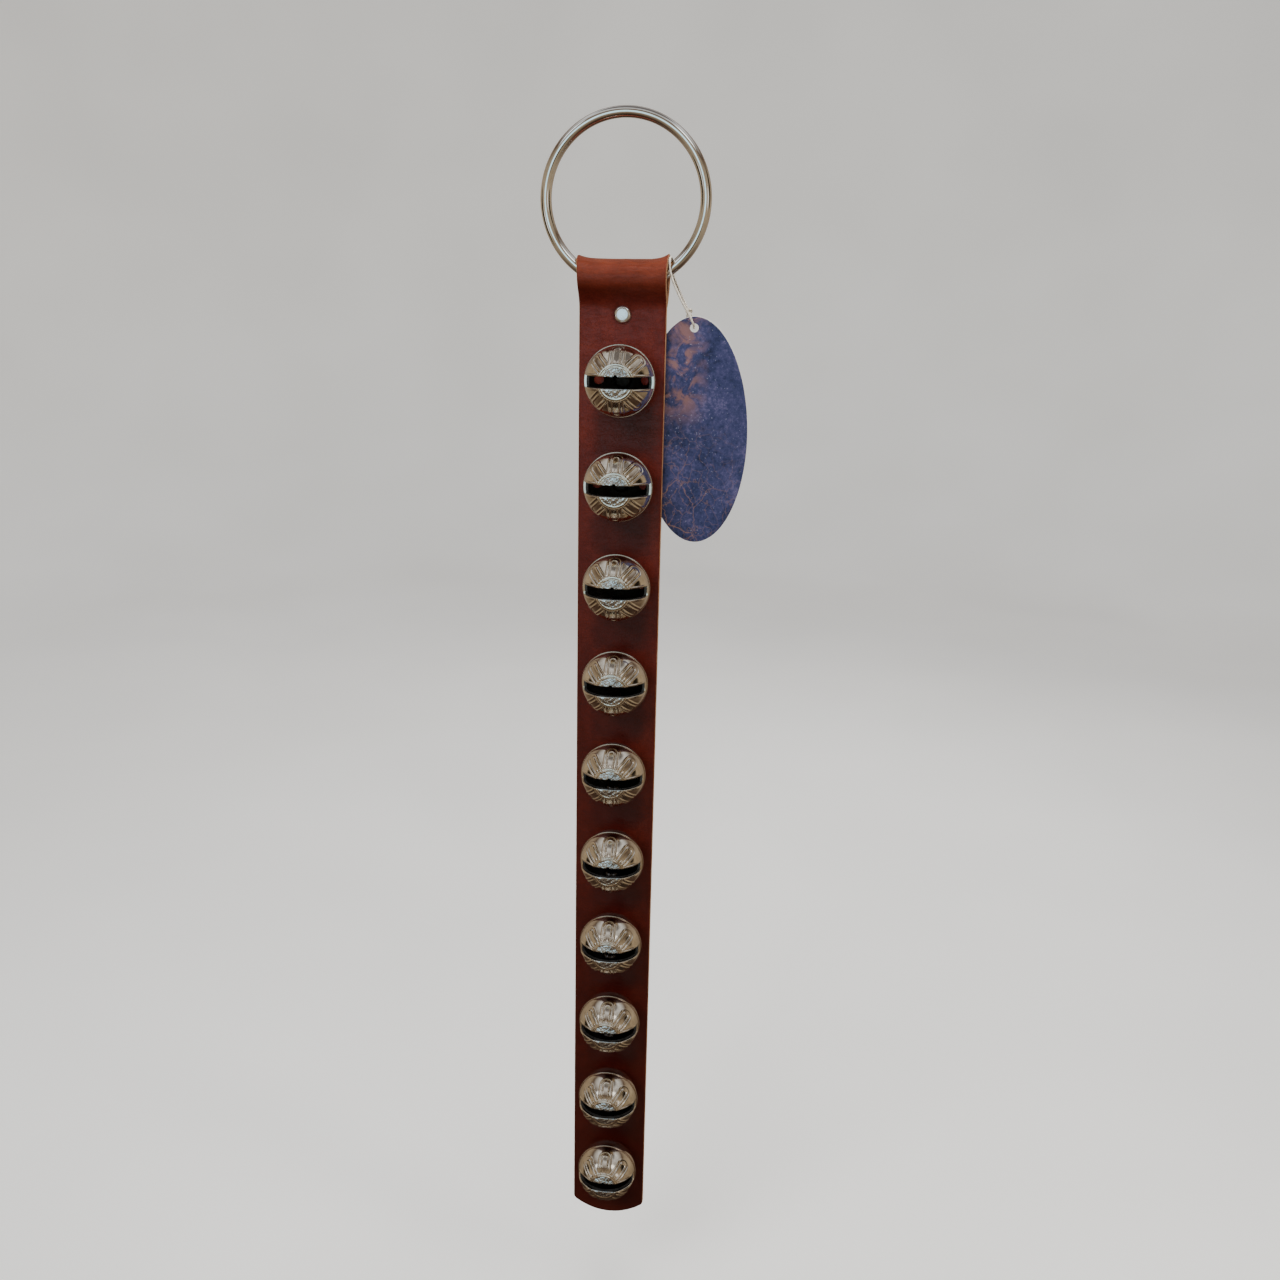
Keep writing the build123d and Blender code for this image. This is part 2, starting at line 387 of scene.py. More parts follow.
def framesAlong(path):
    # a direction and two sideways directions at each point, turned as little as possible
    ahead = np.gradient(path, axis=0)
    ahead /= np.linalg.norm(ahead, axis=1)[:, None]
    side = np.cross(ahead[0], (0.3, 0.5, 0.8))
    sides = []
    for direction in ahead:
        side = side - direction * side.dot(direction)
        side /= np.linalg.norm(side)
        sides.append(side)
    sides = np.array(sides)
    return ahead, sides, np.cross(ahead, sides)


def tubeAlong(path, radius, around=8):
    # a tube, closed at both ends
    ahead, sides, ups = framesAlong(path)
    angles = [2 * math.pi * k / around for k in range(around)]
    points = []
    for centre, side, up in zip(path, sides, ups):
        points += [tuple(centre + radius * (math.cos(a) * side + math.sin(a) * up)) for a in angles]
    faces = loopFaces(len(path), around)
    faces.append(tuple(range(around))[::-1])
    faces.append(tuple((len(path) - 1) * around + k for k in range(around)))
    return points, faces


def strandsAlong(path, diameter, strandDiameter, count, twist):
    lengths = lengthsAlong(path)
    ahead, sides, ups = framesAlong(path)
    reach = (diameter - strandDiameter) / 2
    parts = []
    for strand in range(count):
        angles = 2 * math.pi * (lengths / twist + strand / count)
        offset = np.cos(angles)[:, None] * sides + np.sin(angles)[:, None] * ups
        parts.append(tubeAlong(path + reach * offset, strandDiameter / 2))
    return joinParts(parts)


def makeString():
    path, length = evenly(routeOf(string["points"]), 0.3)
    points, faces = strandsAlong(
        path, string["diameter"], string["strandDiameter"], string["strands"], string["twist"]
    )
    piece = makePiece("tagString", points, faces, "tag", "tag_twine", [twine], ["tag_string"])
    knot = makeKnot()
    print("string", round(length, 1), "mm")


def makeKnot():
    # an overhand knot pulled tight, with its two cut ends
    low, high = [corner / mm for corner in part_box("string_knot")]
    centre = (np.array(low) + np.array(high)) / 2
    half = (np.array(high) - np.array(low)) / 2
    loop = []
    for t in np.linspace(0, 2 * math.pi, 90, endpoint=False):
        loop.append((
            (math.sin(t) + 2 * math.sin(2 * t)) / 3,
            math.sin(3 * t),
            (math.cos(t) - 2 * math.cos(2 * t)) / 3,
        ))
    loop = np.array(loop + loop[:1]) * (half - 0.5) * (1.0, 0.75, 1.0) + centre
    ends = [
        [centre, centre + (1.2, 1.0, -1.6), centre + (2.2, 1.4, -4.0), centre + (2.4, 1.3, -7.0)],
        [centre, centre + (-1.0, 1.1, -1.8), centre + (-1.2, 1.8, -4.2), centre + (-0.4, 2.0, -6.2)],
    ]
    count, twist = string["strands"], string["twist"]
    parts = [strandsAlong(evenly(loop, 0.25)[0], string["diameter"], string["strandDiameter"], count, twist)]
    for end in ends:
        parts.append(strandsAlong(evenly(routeOf(end), 0.25)[0], string["endDiameter"], 0.5, count, twist))
    return makePiece("tagKnot", *joinParts(parts), "tag", "tag_twine", [twine], ["string_knot"])


makeString()


ring = {
    "around": 256,
    "section": 40,
    "weldDepth": 0.07,    # groove left by the butt weld, at the bottom of the ring
    "weldLength": 0.5,
}


def platingFinish(name, tint, grime, roughLow, roughHigh, pits):
    # bright nickel, a little duller and browner in patches
    finish = Finish(name)
    where = finish.place()
    patches = finish.noise(where, 9.0, 5.0, 0.6)
    haze = finish.noise(where, 1.3, 4.0, 0.65)
    specks = finish.noise(where, 0.35, 2.0, 0.5)
    worn = finish.clamp(patches * 0.7 + haze * 0.3, 0.45, 0.68)
    spots = finish.clamp(specks, 0.70, 0.78)
    colour = finish.mix(worn * 0.6, (*tint, 1), (*grime, 1))
    colour = finish.mix(spots * 0.35, colour, (*[c * 0.45 for c in grime], 1))
    return finish.wear(
        Base_Color=colour,
        Metallic=1.0,
        Roughness=finish.clamp(worn * 0.6 + haze * 0.3 + spots * 0.4, 0.0, 1.0, roughLow, roughHigh),
        Normal=finish.bump(haze * 0.6 + specks * 0.25, pits, 0.03),
    )


ringNickel = platingFinish("ringNickel", (0.90, 0.90, 0.89), (0.66, 0.62, 0.56), 0.02, 0.14, 0.06)


def makeRing():
    wire = (ringHigh.y - ringLow.y) / 2
    centre = (ringHigh.x - ringLow.x) / 2 - wire
    middle = (ringHigh.z + ringLow.z) / 2
    points = []
    for i in range(ring["around"]):
        turn = 2 * math.pi * i / ring["around"]
        along = centre * math.remainder(turn + math.pi / 2, 2 * math.pi)
        reach = wire - ring["weldDepth"] * math.exp(-(along / ring["weldLength"]) ** 2)
        for k in range(ring["section"]):
            a = 2 * math.pi * k / ring["section"]
            radius = centre + reach * math.cos(a)
            points.append((radius * math.cos(turn), reach * math.sin(a), middle + radius * math.sin(turn)))
    faces = loopFaces(ring["around"], ring["section"], closed=True)
    makePiece("hangingRing", points, faces, "ring", "ring_plating", [ringNickel], ["ring"])


makeRing()
print("ring done")


strap = {
    "edgeRound": 0.75,     # burnished edge
    "neckDrop": 1.36,      # fold's neck below the swing line, in fold radii
    "neckBend": 3.2,       # where the neck turns into the flat layers, mm
    "neckEase": 3.0,       # mm over which the neck's bend is eased
    "endRise": 7.0,        # lower end: a shallow arc
    "endCorner": 3.5,
    "tailBelow": 12.0,     # tail's end below the loop rivet
    "endZone": 17.0,       # stretch over which rows turn into the end's outline
    "tailZone": 9.0,
    "columns": 56,
    "step": 1.5,           # mm between rows on the flat, less at the fold
    "foldStep": 0.45,
    "foldSaddle": 1.9,     # middle of the fold, lower than its edges
    "flare": (1.2, 0.45),  # left and right, how far the fold spreads
    "cornerLift": 1.0,     # right corner of the fold, raised by wear
    "wrinkle": 0.26,
    "rivetSink": 0.32,
    "seatSink": 0.22,
    "ripple": 0.14,
    # paler colour of the fold's rubbed top, with a painted highlight in it
    "rubbed": (0.210, 0.048, 0.015),
}


def strapPath():
    # middle of the leather's thickness, from the lower end up, over the fold and down behind
    folded = strapHigh.y - leather / 2
    neckZ = swingZ - folded * strap["neckDrop"]
    bend = strap["neckBend"]
    reach = math.hypot(layerMiddle, swingZ - neckZ)
    turn = math.acos(folded / reach) + math.asin(layerMiddle / reach)
    start = Vector((-folded * math.sin(turn), swingZ - folded * math.cos(turn)))
    neck = Vector((-layerMiddle, neckZ))
    slope = (start - neck).normalized()
    corner = math.acos(slope.y)
    cut = bend * math.tan(corner / 2)
    legs = []

    def line(a, b, step):
        count = max(2, int((b - a).length / step))
        normal = Vector((-(b - a).y, (b - a).x)).normalized()
        legs.extend((a.lerp(b, k / count), normal) for k in range(count))

    def arc(centre, radius, first, last, step, sign):
        count = max(3, int(radius * abs(last - first) / step))
        for k in range(count):
            a = first + (last - first) * k / count
            outward = Vector((math.cos(a), math.sin(a)))
            legs.append((centre + radius * outward, outward * sign))

    bottom = Vector((-layerMiddle, strapLow.z))
    below = neck - Vector((0, cut))
    above = neck + slope * cut
    line(bottom, below, 0.5)
    arc(below + Vector((-bend, 0)), bend, 0, corner, 0.2, -1)
    line(above, start, 0.2)
    mirrored = [(Vector((-p.x, p.y)), Vector((-n.x, n.y))) for p, n in legs[::-1]]
    first = math.atan2(start.y - swingZ, start.x) + 2 * math.pi
    arc(Vector((0, swingZ)), folded, first, math.pi - first, 0.2, 1)
    tail = rivetZ - strap["tailBelow"]
    legs.extend((p, n) for p, n in mirrored if p.y > tail)
    legs.append((Vector((layerMiddle, tail)), Vector((1, 0))))
    spots = np.array([(*p, *n) for p, n in legs])
    keep = np.concatenate([[True], np.linalg.norm(np.diff(spots[:, :2], axis=0), axis=1) > 1e-6])
    spots = spots[keep]
    lengths = lengthsAlong(spots[:, :2])
    # leather turns gently into the neck: the line is eased there and left as it is round the wire
    soft = spots.copy()
    steps = np.gradient(lengths)
    for i in np.flatnonzero(np.abs(spots[:, 1] - neckZ) < 9):
        weights = np.exp(-((lengths - lengths[i]) / strap["neckEase"]) ** 2) * steps
        share = math.exp(-((spots[i, 1] - neckZ) / 4.5) ** 4)
        soft[i] += share * ((weights[:, None] * spots).sum(axis=0) / weights.sum() - spots[i])
    return lengthsAlong(soft[:, :2]), soft


def lowerEnd(u):
    # outline of the lower end, u from -1 at the left side to 1 at the right: x, along and the outward way
    half, rise, corner = strapWidth / 2, strap["endRise"], strap["endCorner"]
    big = (half * half + rise * rise) / (2 * rise)
    # corner circle: inside the side by its radius, and inside the big arc by it too
    inX = half - corner
    inAlong = big - math.sqrt((big - corner) ** 2 - inX ** 2)
    away = math.atan2(inX, big - inAlong)
    arcLength = big * away
    cornerLength = corner * (math.pi / 2 - away)
    place = abs(u) * (arcLength + cornerLength)
    side = 1 if u >= 0 else -1
    if place <= arcLength:
        a = place / big
        x, along = big * math.sin(a), big - big * math.cos(a)
    else:
        a = away + (place - arcLength) / corner
        x, along = inX + corner * math.sin(a), inAlong - corner * math.cos(a)
    return side * x, along, side * math.sin(a), -math.cos(a)


def tailEnd(u):
    half = strapWidth / 2
    a = u * math.pi / 2
    return half * math.sin(a), half - half * math.cos(a), math.sin(a), math.cos(a)


def strapRows(total):
    # each row: points (x, along) of the leather's outline grid, with outward ways at its two ends
    half = strapWidth / 2
    lowSide, tailSide = lowerEnd(1)[1], tailEnd(1)[1]
    lowFlat, tailFlat = lowSide + strap["endZone"], total - tailSide - strap["tailZone"]
    crowd = math.pi / 2 * 0.93    # columns stand closer near the sides
    columns = [math.sin(crowd * (2 * k / strap["columns"] - 1)) / math.sin(crowd)
               for k in range(strap["columns"] + 1)]

    def turning(t, u, x, along, nx, na, flat):
        # t from 0 on the end's outline to 1 on a straight row
        return (1 - t) * x + t * half * u, (1 - t) * along + t * flat, nx, na

    steps = [0, 0.012, 0.04, 0.09, 0.16, 0.25, 0.36, 0.48, 0.6, 0.72, 0.84]
    rows = [[turning(t, u, *lowerEnd(u), lowFlat) for u in columns] for t in steps]
    along = lowFlat
    flatEnd = rivetZ - strapLow.z - 8
    while along < tailFlat:
        rows.append([(half * u, along, 0, 0) for u in columns])
        along += strap["step"] if along < flatEnd else strap["foldStep"]
    for t in steps[::-1]:
        row = []
        for u in columns:
            x, inward, nx, na = tailEnd(u)
            row.append(turning(t, u, x, total - inward, nx, na, tailFlat))
        rows.append(row)
    return rows


def makeStrap():
    lengths, spots = strapPath()
    total = lengths[-1]
    rows = strapRows(total)
    wide, tall = len(rows[0]), len(rows)
    foldTop = lengths[np.argmax(spots[:, 1])]
    half = strapWidth / 2
    r = strap["edgeRound"]

    # the outline, once around: lower end, right side, tail's end, left side
    border = [(0, j) for j in range(wide)]
    border += [(i, wide - 1) for i in range(1, tall - 1)]
    border += [(tall - 1, j) for j in range(wide - 1, -1, -1)]
    border += [(i, 0) for i in range(tall - 2, 0, -1)]
    outward = {}
    for i, j in border:
        outward[i, j] = rows[i][j][2:] if i in (0, tall - 1) else (1 if j else -1, 0)

    def flat(i, j):
        # the face's own point, drawn in from the outline by the edge's rounding
        x, along = rows[i][j][:2]
        if i in (0, tall - 1):
            nx, na = outward[i, j]
            return x - r * nx, along - r * na
        return x * (half - r) / half, along

    def seat(x, along):
        # how far the grain side sinks at the rivet and under the bells
        y = np.interp(along, lengths, spots[:, 0])
        z = np.interp(along, lengths, spots[:, 1])
        if y > 0:
            return 0.0
        sink = 0.0
        away = math.hypot(x, z - rivetZ) / ((headHigh.x - headLow.x) / 2)
        if abs(z - rivetZ) < 12:
            sink += strap["rivetSink"] * math.exp(-((max(away - 0.8, 0)) / 0.42) ** 2)
        for middle in bellZ:
            reach = math.hypot(x - bellX, z - middle)
            if abs(z - middle) < 18 and reach > 4.9:
                sink += strap["seatSink"] * math.exp(-(max(reach - 5.0, 0) / 2.4) ** 2)
        return sink

    def grain(x, along):
        # height of the grain side over its flat place
        near = math.exp(-((along - foldTop) / 16) ** 2)
        wave = noise.noise(Vector((x * 0.09, along * 0.03, 3.1)))
        crease = noise.noise(Vector((x * 0.07, along * 0.42, 7.7)))
        fine = noise.noise(Vector((x * 0.3, along * 0.9, 1.3)))
        height = strap["ripple"] * wave * (1 - near)
        height += near * strap["wrinkle"] * (crease + 0.35 * fine)
        # creases that run out from the loop rivet
        z = np.interp(along, lengths, spots[:, 1])
        if spots[np.searchsorted(lengths, along) - 1, 0] < 0 and abs(z - rivetZ) < 14:
            away = math.hypot(x, z - rivetZ)
            turn = math.atan2(z - rivetZ, x)
            ray = abs(math.sin(turn * 2.5 + 0.7 + 0.5 * wave)) ** 10
            height -= 0.16 * ray * math.exp(-((away - 7) / 3.5) ** 2)
        return height - seat(x, along)

    def lay(x, along, out):
        # bends the flat leather over the ring; out is the height over its middle
        y, z, ny, nz = [float(np.interp(along, lengths, spots[:, k])) for k in range(4)]
        size = math.hypot(ny, nz)
        ny, nz = ny / size, nz / size
        atTop = max(nz, 0) ** 1.5
        near = math.exp(-((along - foldTop) / 9) ** 2)
        # the fold rests on the wire at its two edges and sags between them
        wire = (ringHigh.x - ringLow.x) / 2 - (ringHigh.y - ringLow.y) / 2
        free = math.sqrt(wire ** 2 - min(abs(x), half) ** 2) - math.sqrt(wire ** 2 - half ** 2)
        dip = strap["foldSaddle"] * (1 - math.exp(-free / strap["foldSaddle"])) * atTop
        lift = strap["cornerLift"] * max(x / half, 0) ** 6 * near
        flare = abs(x / half) ** 4 * near * (strap["flare"][1] if x > 0 else -strap["flare"][0])
        return x + flare, y + ny * (out + lift * 0.6), z + nz * (out + lift) - dip

    points, faces, kinds = [], [], []
    thick = leather / 2
    index = {}
    for side in (1, -1):
        for i in range(tall):
            for j in range(wide):
                x, along = flat(i, j)
                out = -thick
                if side > 0:
                    edge = min(1, (half - abs(x)) / 2.0)
                    out = thick + grain(x, along) - 0.12 * (1 - edge) ** 2
                index[side, i, j] = len(points)
                points.append(lay(x, along, out))
        for i in range(tall - 1):
            for j in range(wide - 1):
                quad = tuple(index[side, a, b] for a, b in ((i, j), (i, j + 1), (i + 1, j + 1), (i + 1, j)))
                faces.append(quad if side > 0 else quad[::-1])
                kinds.append(0 if side > 0 else 1)
    # edge: rounded over at both sides, flat and raw between
    angles = arcAngles(math.pi / 2, 4)
    loops = []
    for place in border:
        x, along = flat(*place)
        nx, na = outward[place]
        out = thick + grain(x, along)
        section = [(math.sin(a), out - r * (1 - math.cos(a)) - 0.1 * (1 - math.sin(a))) for a in angles]
        section += [(1, (out - r) * (1 - share) - (thick - r) * share) for share in (0.33, 0.67)]
        section += [(math.sin(a), -thick + r * (1 - math.cos(a))) for a in angles[::-1]]
        first = len(points)
        points += [lay(x + nx * r * away, along + na * r * away, height) for away, height in section]
        loops.append([index[1, *place], *range(first, len(points)), index[-1, *place]])
    bands = len(loops[0]) - 1
    for b in range(len(loops)):
        here, there = loops[b], loops[(b + 1) % len(loops)]
        for k in range(bands):
            faces.append((here[k], there[k], there[k + 1], here[k + 1]))
            kinds.append(0 if k < 2 else (1 if k >= bands - 1 else 2))
    return makePiece(
        "leatherStrap", points, faces, "strap", "strap_leather",
        [leatherGrain, leatherFlesh, leatherEdge], ["strap"], kinds,
    )


def leatherFinish(name, dark, middle, light, shine, grainDepth):
    finish = Finish(name)
    where = finish.place()
    long = finish.place((1, 1, 0.35))
    clouds = finish.noise(long, 22.0, 4.0, 0.6)
    blotch = finish.noise(where, 5.0, 4.0, 0.6)
    cells = finish.node(
        "ShaderNodeTexVoronoi", {"feature": "DISTANCE_TO_EDGE"},
        {"Vector": finish.place((1, 1, 0.8)), "Scale": 1 / (0.9 * mm), "Randomness": 1.0},
    )
    pebble = finish.clamp(cells, 0.0, 0.22)
    pores = finish.clamp(finish.noise(where, 0.45, 2.0, 0.5), 0.64, 0.74)
    creases = finish.noise(finish.place((0.35, 1, 1)), 2.4, 5.0, 0.7, 0.8)
    folds = finish.clamp(creases, 0.46, 0.5) - finish.clamp(creases, 0.5, 0.54)
    tone = clouds * 0.55 + blotch * 0.35 + pebble * 0.10
    colour = finish.ramp(tone, (0.32, dark), (0.5, middle), (0.68, light))
    # the fold's top is rubbed paler and carries a painted highlight; the lower end is darker, painted shade
    high = finish.part("Z")
    rubbed = finish.clamp(creases * 0.5 + clouds * 0.5, 0.30, 0.70, 0.35, 1.0)
    rubbed = finish.clamp(high, (swingZ - 9) * mm, (swingZ + 6) * mm) * rubbed
    colour = finish.mix(rubbed * 0.52, colour, (*strap["rubbed"], 1))
    # painted shade: the strap grows darker toward its lower end, as if less lit
    low = finish.clamp(high, strapLow.z * mm, (rivetZ - 60) * mm, 0.62, 0.0)
    colour = finish.mix(low, colour, (*[c * 0.55 for c in dark], 1))
    # oil and dirt gather under each bell, and the bell's shadow is painted into the same dark patch; the grain
    # near the sides stays paler
    pitch = (bellZ[0] - bellZ[1]) * mm
    aside = finish.part("X")
    under = finish.node("ShaderNodeMath", {"operation": "MODULO"}, {0: (bellZ[0] + 3) * mm - high, 1: pitch})
    spread = ((under - 24 * mm) / (14 * mm)) ** 4 + ((aside - bellX * mm) / (13.5 * mm)) ** 4
    # patch under each bell: real staining together with the bell's painted shadow
    stainAndShadow = finish.clamp(spread + (blotch - 0.5) * 0.4, 0.3, 1.3, 1.0, 0.0)
    below = finish.clamp(high, (bellZ[0] - 2) * mm, (bellZ[0] + 2) * mm, 1.0, 0.0)
    colour = finish.mix(stainAndShadow * below * 0.62, colour, (dark[0] * 0.62, dark[1] * 0.8, dark[2] * 1.1, 1))
    # painted shade: the grooves of the creases are darkened
    colour = finish.mix(folds * 0.30, colour, (*[c * 0.45 for c in dark], 1))
    colour = finish.mix(pores * 0.5, colour, (*[c * 0.3 for c in dark], 1))
    height = pebble * 0.35 + blotch * 0.5 + folds * -0.5 - pores * 0.5
    return finish.wear(
        Base_Color=colour,
        Roughness=finish.clamp(blotch * 0.5 + pebble * 0.3 + pores * 0.2, 0.25, 0.75, shine, shine + 0.2),
        Specular_IOR_Level=0.36,
        Normal=finish.bump(height, 0.5, grainDepth),
    )


leatherGrain = leatherFinish(
    "leatherGrain", (0.048, 0.0048, 0.0032), (0.078, 0.0088, 0.0060), (0.112, 0.0160, 0.0095), 0.28, 0.08
)
leatherFlesh = roughFinish(
    "leatherFlesh", (0.5, 6.0, 0.75), (8.0, 4.0), 0.5,
    [(0.3, (0.085, 0.030, 0.016)), (0.7, (0.20, 0.085, 0.045))], (0.3, 0.7, 0.75, 0.95), (0.7, 0.15),
)
# raw cut edge: tan fibres in layers, darker where the dye crept in
leatherEdge = roughFinish(
    "leatherEdge", (0.35, 5.0, 0.7), (6.0, 3.0), 0.45,
    [(0.32, (0.13, 0.055, 0.025)), (0.52, (0.30, 0.16, 0.085)), (0.7, (0.42, 0.26, 0.15))],
    (0.3, 0.7, 0.6, 0.85), (0.6, 0.12),
)
makeStrap()
print("strap done")


bell = {
    "wall": 2.4,
    "ridgeRound": 0.2,
    "slotWidth": 4.8,
    "slotOverSeam": 2.0,
    "slotRound": 0.3,
    "rebate": 1.35,        # how far the hollow's wider mouth reaches in from the seam
    "lipReach": 1.15,      # how much wider it is
    "ridgeOver": 0.4,      # how far the waist ridge stands out
    "nickRadius": 0.8,
    "ridgeTall": 0.9,
    "petals": 8,
    "stations": 84,        # along the slot's edge, from its middle to its end
    "columns": 176,        # half way round
    "innerColumns": 44,
    "floorColumns": 12,
    "cordHeight": 0.38,    # raised cords of the petals and the ring round the middle
    "cordWidth": 0.29,
    "petalHalves": (1.5, 3.0),        # half widths of the inner and the outer petal
    "petalEnds": (66.5, 75.0),        # degrees from the pole
    "petalStart": 31.5,
    "ringAngles": (26.8, 30.6),
    "discSink": 0.55,
    "discRough": 0.30,
}
seamOut = leatherFront - domeHigh.y
ridgeRadius = (domeHigh.x - domeLow.x) / 2
domeRadius = ridgeRadius - bell["ridgeOver"]
# the slot takes the pole away, so the pole comes from the height of the slot's edge
ridgeOut = seamOut + bell["ridgeTall"]
slotEdgeShare = math.sqrt(1 - (bell["slotWidth"] / 2 / domeRadius) ** 2)
poleOut = ridgeOut + (leatherFront - domeLow.y - ridgeOut) / slotEdgeShare
domeTall = poleOut - ridgeOut
hollowRadius = ridgeRadius - bell["wall"]
rebateTop = seamOut + bell["rebate"]
innerTall = poleOut - bell["wall"] - rebateTop


def relief(polar, turn):
    # height of the cast pattern over the plain dome; polar and turn in radians
    along = domeRadius * polar
    height = 0.0

    def cord(away, tall=1.0, wide=1.0):
        return tall * bell["cordHeight"] * math.exp(-(away / (bell["cordWidth"] * wide)) ** 2)

    def rubble(size, seed):
        return noise.noise(Vector((x * size, z * size, seed)))

    sector = 2 * math.pi / bell["petals"]
    off = math.remainder(turn - math.pi / 2, sector)
    aside = abs(domeRadius * math.sin(polar) * math.sin(off))
    start = domeRadius * math.radians(bell["petalStart"])
    fade = 1 / (1 + math.exp(-(along - start) / 0.18))
    if polar < math.radians(84):
        for half, end in zip(bell["petalHalves"], bell["petalEnds"]):
            centre = domeRadius * math.radians(end) - half
            away = abs(aside - half) if along < centre else abs(math.hypot(aside, along - centre) - half)
            soften = 1 - 0.55 * min(1, max(0, along / domeRadius - 1.05) / 0.28)
            height = max(height, fade * soften * cord(away))
        # slight hollow inside the inner petal, a soft swell between petals
        inner = bell["petalHalves"][0]
        if along > start and aside < inner and along < domeRadius * math.radians(bell["petalEnds"][0]) - inner:
            height -= 0.10 * fade * (1 - (aside / inner) ** 2)
    for angle, tall in zip(bell["ringAngles"], (1.0, 0.85)):
        height = max(height, cord(along - domeRadius * math.radians(angle), tall, 1.1))
    # teeth just outside the double ring
    tooth = 0.5 + 0.5 * math.cos(turn * 40)
    height += 0.12 * tooth ** 3 * math.exp(-((along - start - 0.5) / 0.7) ** 2)
    disc = domeRadius * math.radians(bell["ringAngles"][0] - 2.5)
    if along < disc + 0.6:
        inside = min(1, max(0, (disc + 0.6 - along) / 1.2))
        share = min(1, along / disc)
        height -= bell["discSink"] * (1 - share ** 2) * inside
        x, z = along * math.cos(turn), along * math.sin(turn)
        lump = rubble(0.42, 5.0) + 0.6 * rubble(1.1, 2.0) + 0.35 * rubble(2.3, 9.0)
        height += bell["discRough"] * lump * inside
    return height


def frontShellMesh():
    half = bell["slotWidth"] / 2
    edge = bell["slotRound"]
    floorOut = seamOut + bell["slotOverSeam"]
    floorPolar = math.acos((floorOut - ridgeOut) / domeTall)
    floorRadius = domeRadius * math.sin(floorPolar)
    innerFloorRadius = hollowRadius * math.sqrt(1 - ((floorOut - rebateTop) / innerTall) ** 2)

    def outer(radius, turn):
        polar = math.asin(min(1, radius / domeRadius))
        normal = Vector((math.sin(polar) / domeRadius, math.cos(polar) / domeTall)).normalized()
        rise = relief(polar, turn)
        r = radius + normal.x * rise
        out = ridgeOut + domeTall * math.cos(polar) + normal.y * rise
        return Vector((r * math.cos(turn), -out, r * math.sin(turn)))

    def inner(radius, turn):
        out = rebateTop + innerTall * math.sqrt(max(0, 1 - (radius / hollowRadius) ** 2))
        return Vector((radius * math.cos(turn), -out, radius * math.sin(turn)))

    def stations(reach, radius, up):
        # x places along a slot edge, evenly spaced over its curve
        xs = np.linspace(0, math.sqrt(reach ** 2 - half ** 2), 2000)
        outs = up * np.sqrt(np.maximum(0, 1 - (xs ** 2 + half ** 2) / radius ** 2))
        lengths = np.concatenate([[0], np.cumsum(np.hypot(np.diff(xs), np.diff(outs)))])
        return np.interp(np.linspace(0, lengths[-1], bell["stations"] + 1), lengths, xs)

    def spread(radius, lowest, count):
        # turns over the upper half, from one side of the slot to the other
        first = math.asin(min(1, lowest / radius))
        return [first + (math.pi - 2 * first) * k / count for k in range(count + 1)]

    def across(radius):
        # turns over the slot's width at its left end
        count = bell["floorColumns"]
        return [math.pi - math.asin(half * (1 - 2 * c / count) / radius) for c in range(count + 1)]

    outerXs = stations(floorRadius, domeRadius, domeTall)
    innerXs = stations(innerFloorRadius, hollowRadius, innerTall)
    innerXs[-1] = math.sqrt(innerFloorRadius ** 2 - half ** 2)
    outerXs[-1] = math.sqrt(floorRadius ** 2 - half ** 2)

    def nick(point, sign):
        if sign < 0:
            return point
        push = math.sqrt(max(0, bell["nickRadius"] ** 2 - point.x ** 2))
        fall = max(0, 1 - (point.z - half) / 3) ** 2
        return Vector((point.x, point.y, point.z + push * fall))

    parts = []
    for sign in (1, -1):
        def turned(vector):
            vector = nick(vector, sign)
            return Vector((vector.x, vector.y, sign * vector.z))

        # dome, one row for each station on the slot's edge
        rows = []
        for x in outerXs:
            radius = min(math.hypot(x, half + edge), floorRadius)
            turns = spread(radius, half + edge, bell["columns"])
            rows.append([turned(flip(outer, radius, turn, sign)) for turn in turns])
        parts.append(grid(rows))
        rows = []
        for x in innerXs:
            radius = math.hypot(x, half)
            rows.append([turned(inner(radius, turn)) for turn in spread(radius, half, bell["innerColumns"])])
        parts.append(grid(rows, flip=True))
        # slot wall with its rounded outer edge, from one end over the middle to the other
        wallRows = []
        count = bell["stations"]
        order = [(1, j) for j in range(count, -1, -1)] + [(-1, j) for j in range(1, count + 1)]
        for side, j in order:
            radius = min(math.hypot(outerXs[j], half + edge), floorRadius)
            first = math.asin(min(1, (half + edge) / radius))
            turn = first if side > 0 else math.pi - first
            base = flip(outer, radius, turn, sign)
            flatRadius = math.hypot(outerXs[j], half)
            flatTurn = math.asin(half / flatRadius)
            section = flip(outer, flatRadius, flatTurn if side > 0 else math.pi - flatTurn, sign)
            section = Vector((section.x, section.y, half))
            if j == count:
                section = Vector((side * outerXs[j], -floorOut, half))
            innerReach = math.hypot(innerXs[j], half)
            inPoint = inner(innerReach, math.asin(half / innerReach))
            inPoint = Vector((side * inPoint.x, inPoint.y, half))
            polar = math.asin(min(1, flatRadius / domeRadius))
            # the wall leans with the dome and is level at the slot's ends
            leaning = Vector((-side * outerXs[j] / domeRadius ** 2, math.cos(polar) / domeTall)).normalized()
            blend = max(0, (j / count - 0.85) / 0.15)
            inward = (leaning * (1 - blend) + Vector((-side, 0.0)) * blend).normalized().to_3d()
            deep = section + inward * edge
            row = [turned(base)]
            for m in (1, 2, 3):
                a = math.pi / 6 * m
                mid = base.lerp(section, math.sin(a)) + inward * edge * (1 - math.cos(a))
                mid.z = base.z + (half - base.z) * math.sin(a)
                row.append(turned(mid if m < 3 else deep))
            for step in (0.33, 0.67, 1.0):
                row.append(turned(deep.lerp(inPoint, step)))
            wallRows.append(row)
        parts.append(grid(wallRows, flip=sign < 0))
        # small corner at each end of the wall, between the rounding and the slot's floor
        for row, side in ((wallRows[0], 1), (wallRows[-1], -1)):
            corner = Vector((side * outerXs[-1], -floorOut, sign * half))
            fan = [tuple(p) for p in row[:4]] + [tuple(corner)]
            parts.append((fan, [tuple(range(5))]))
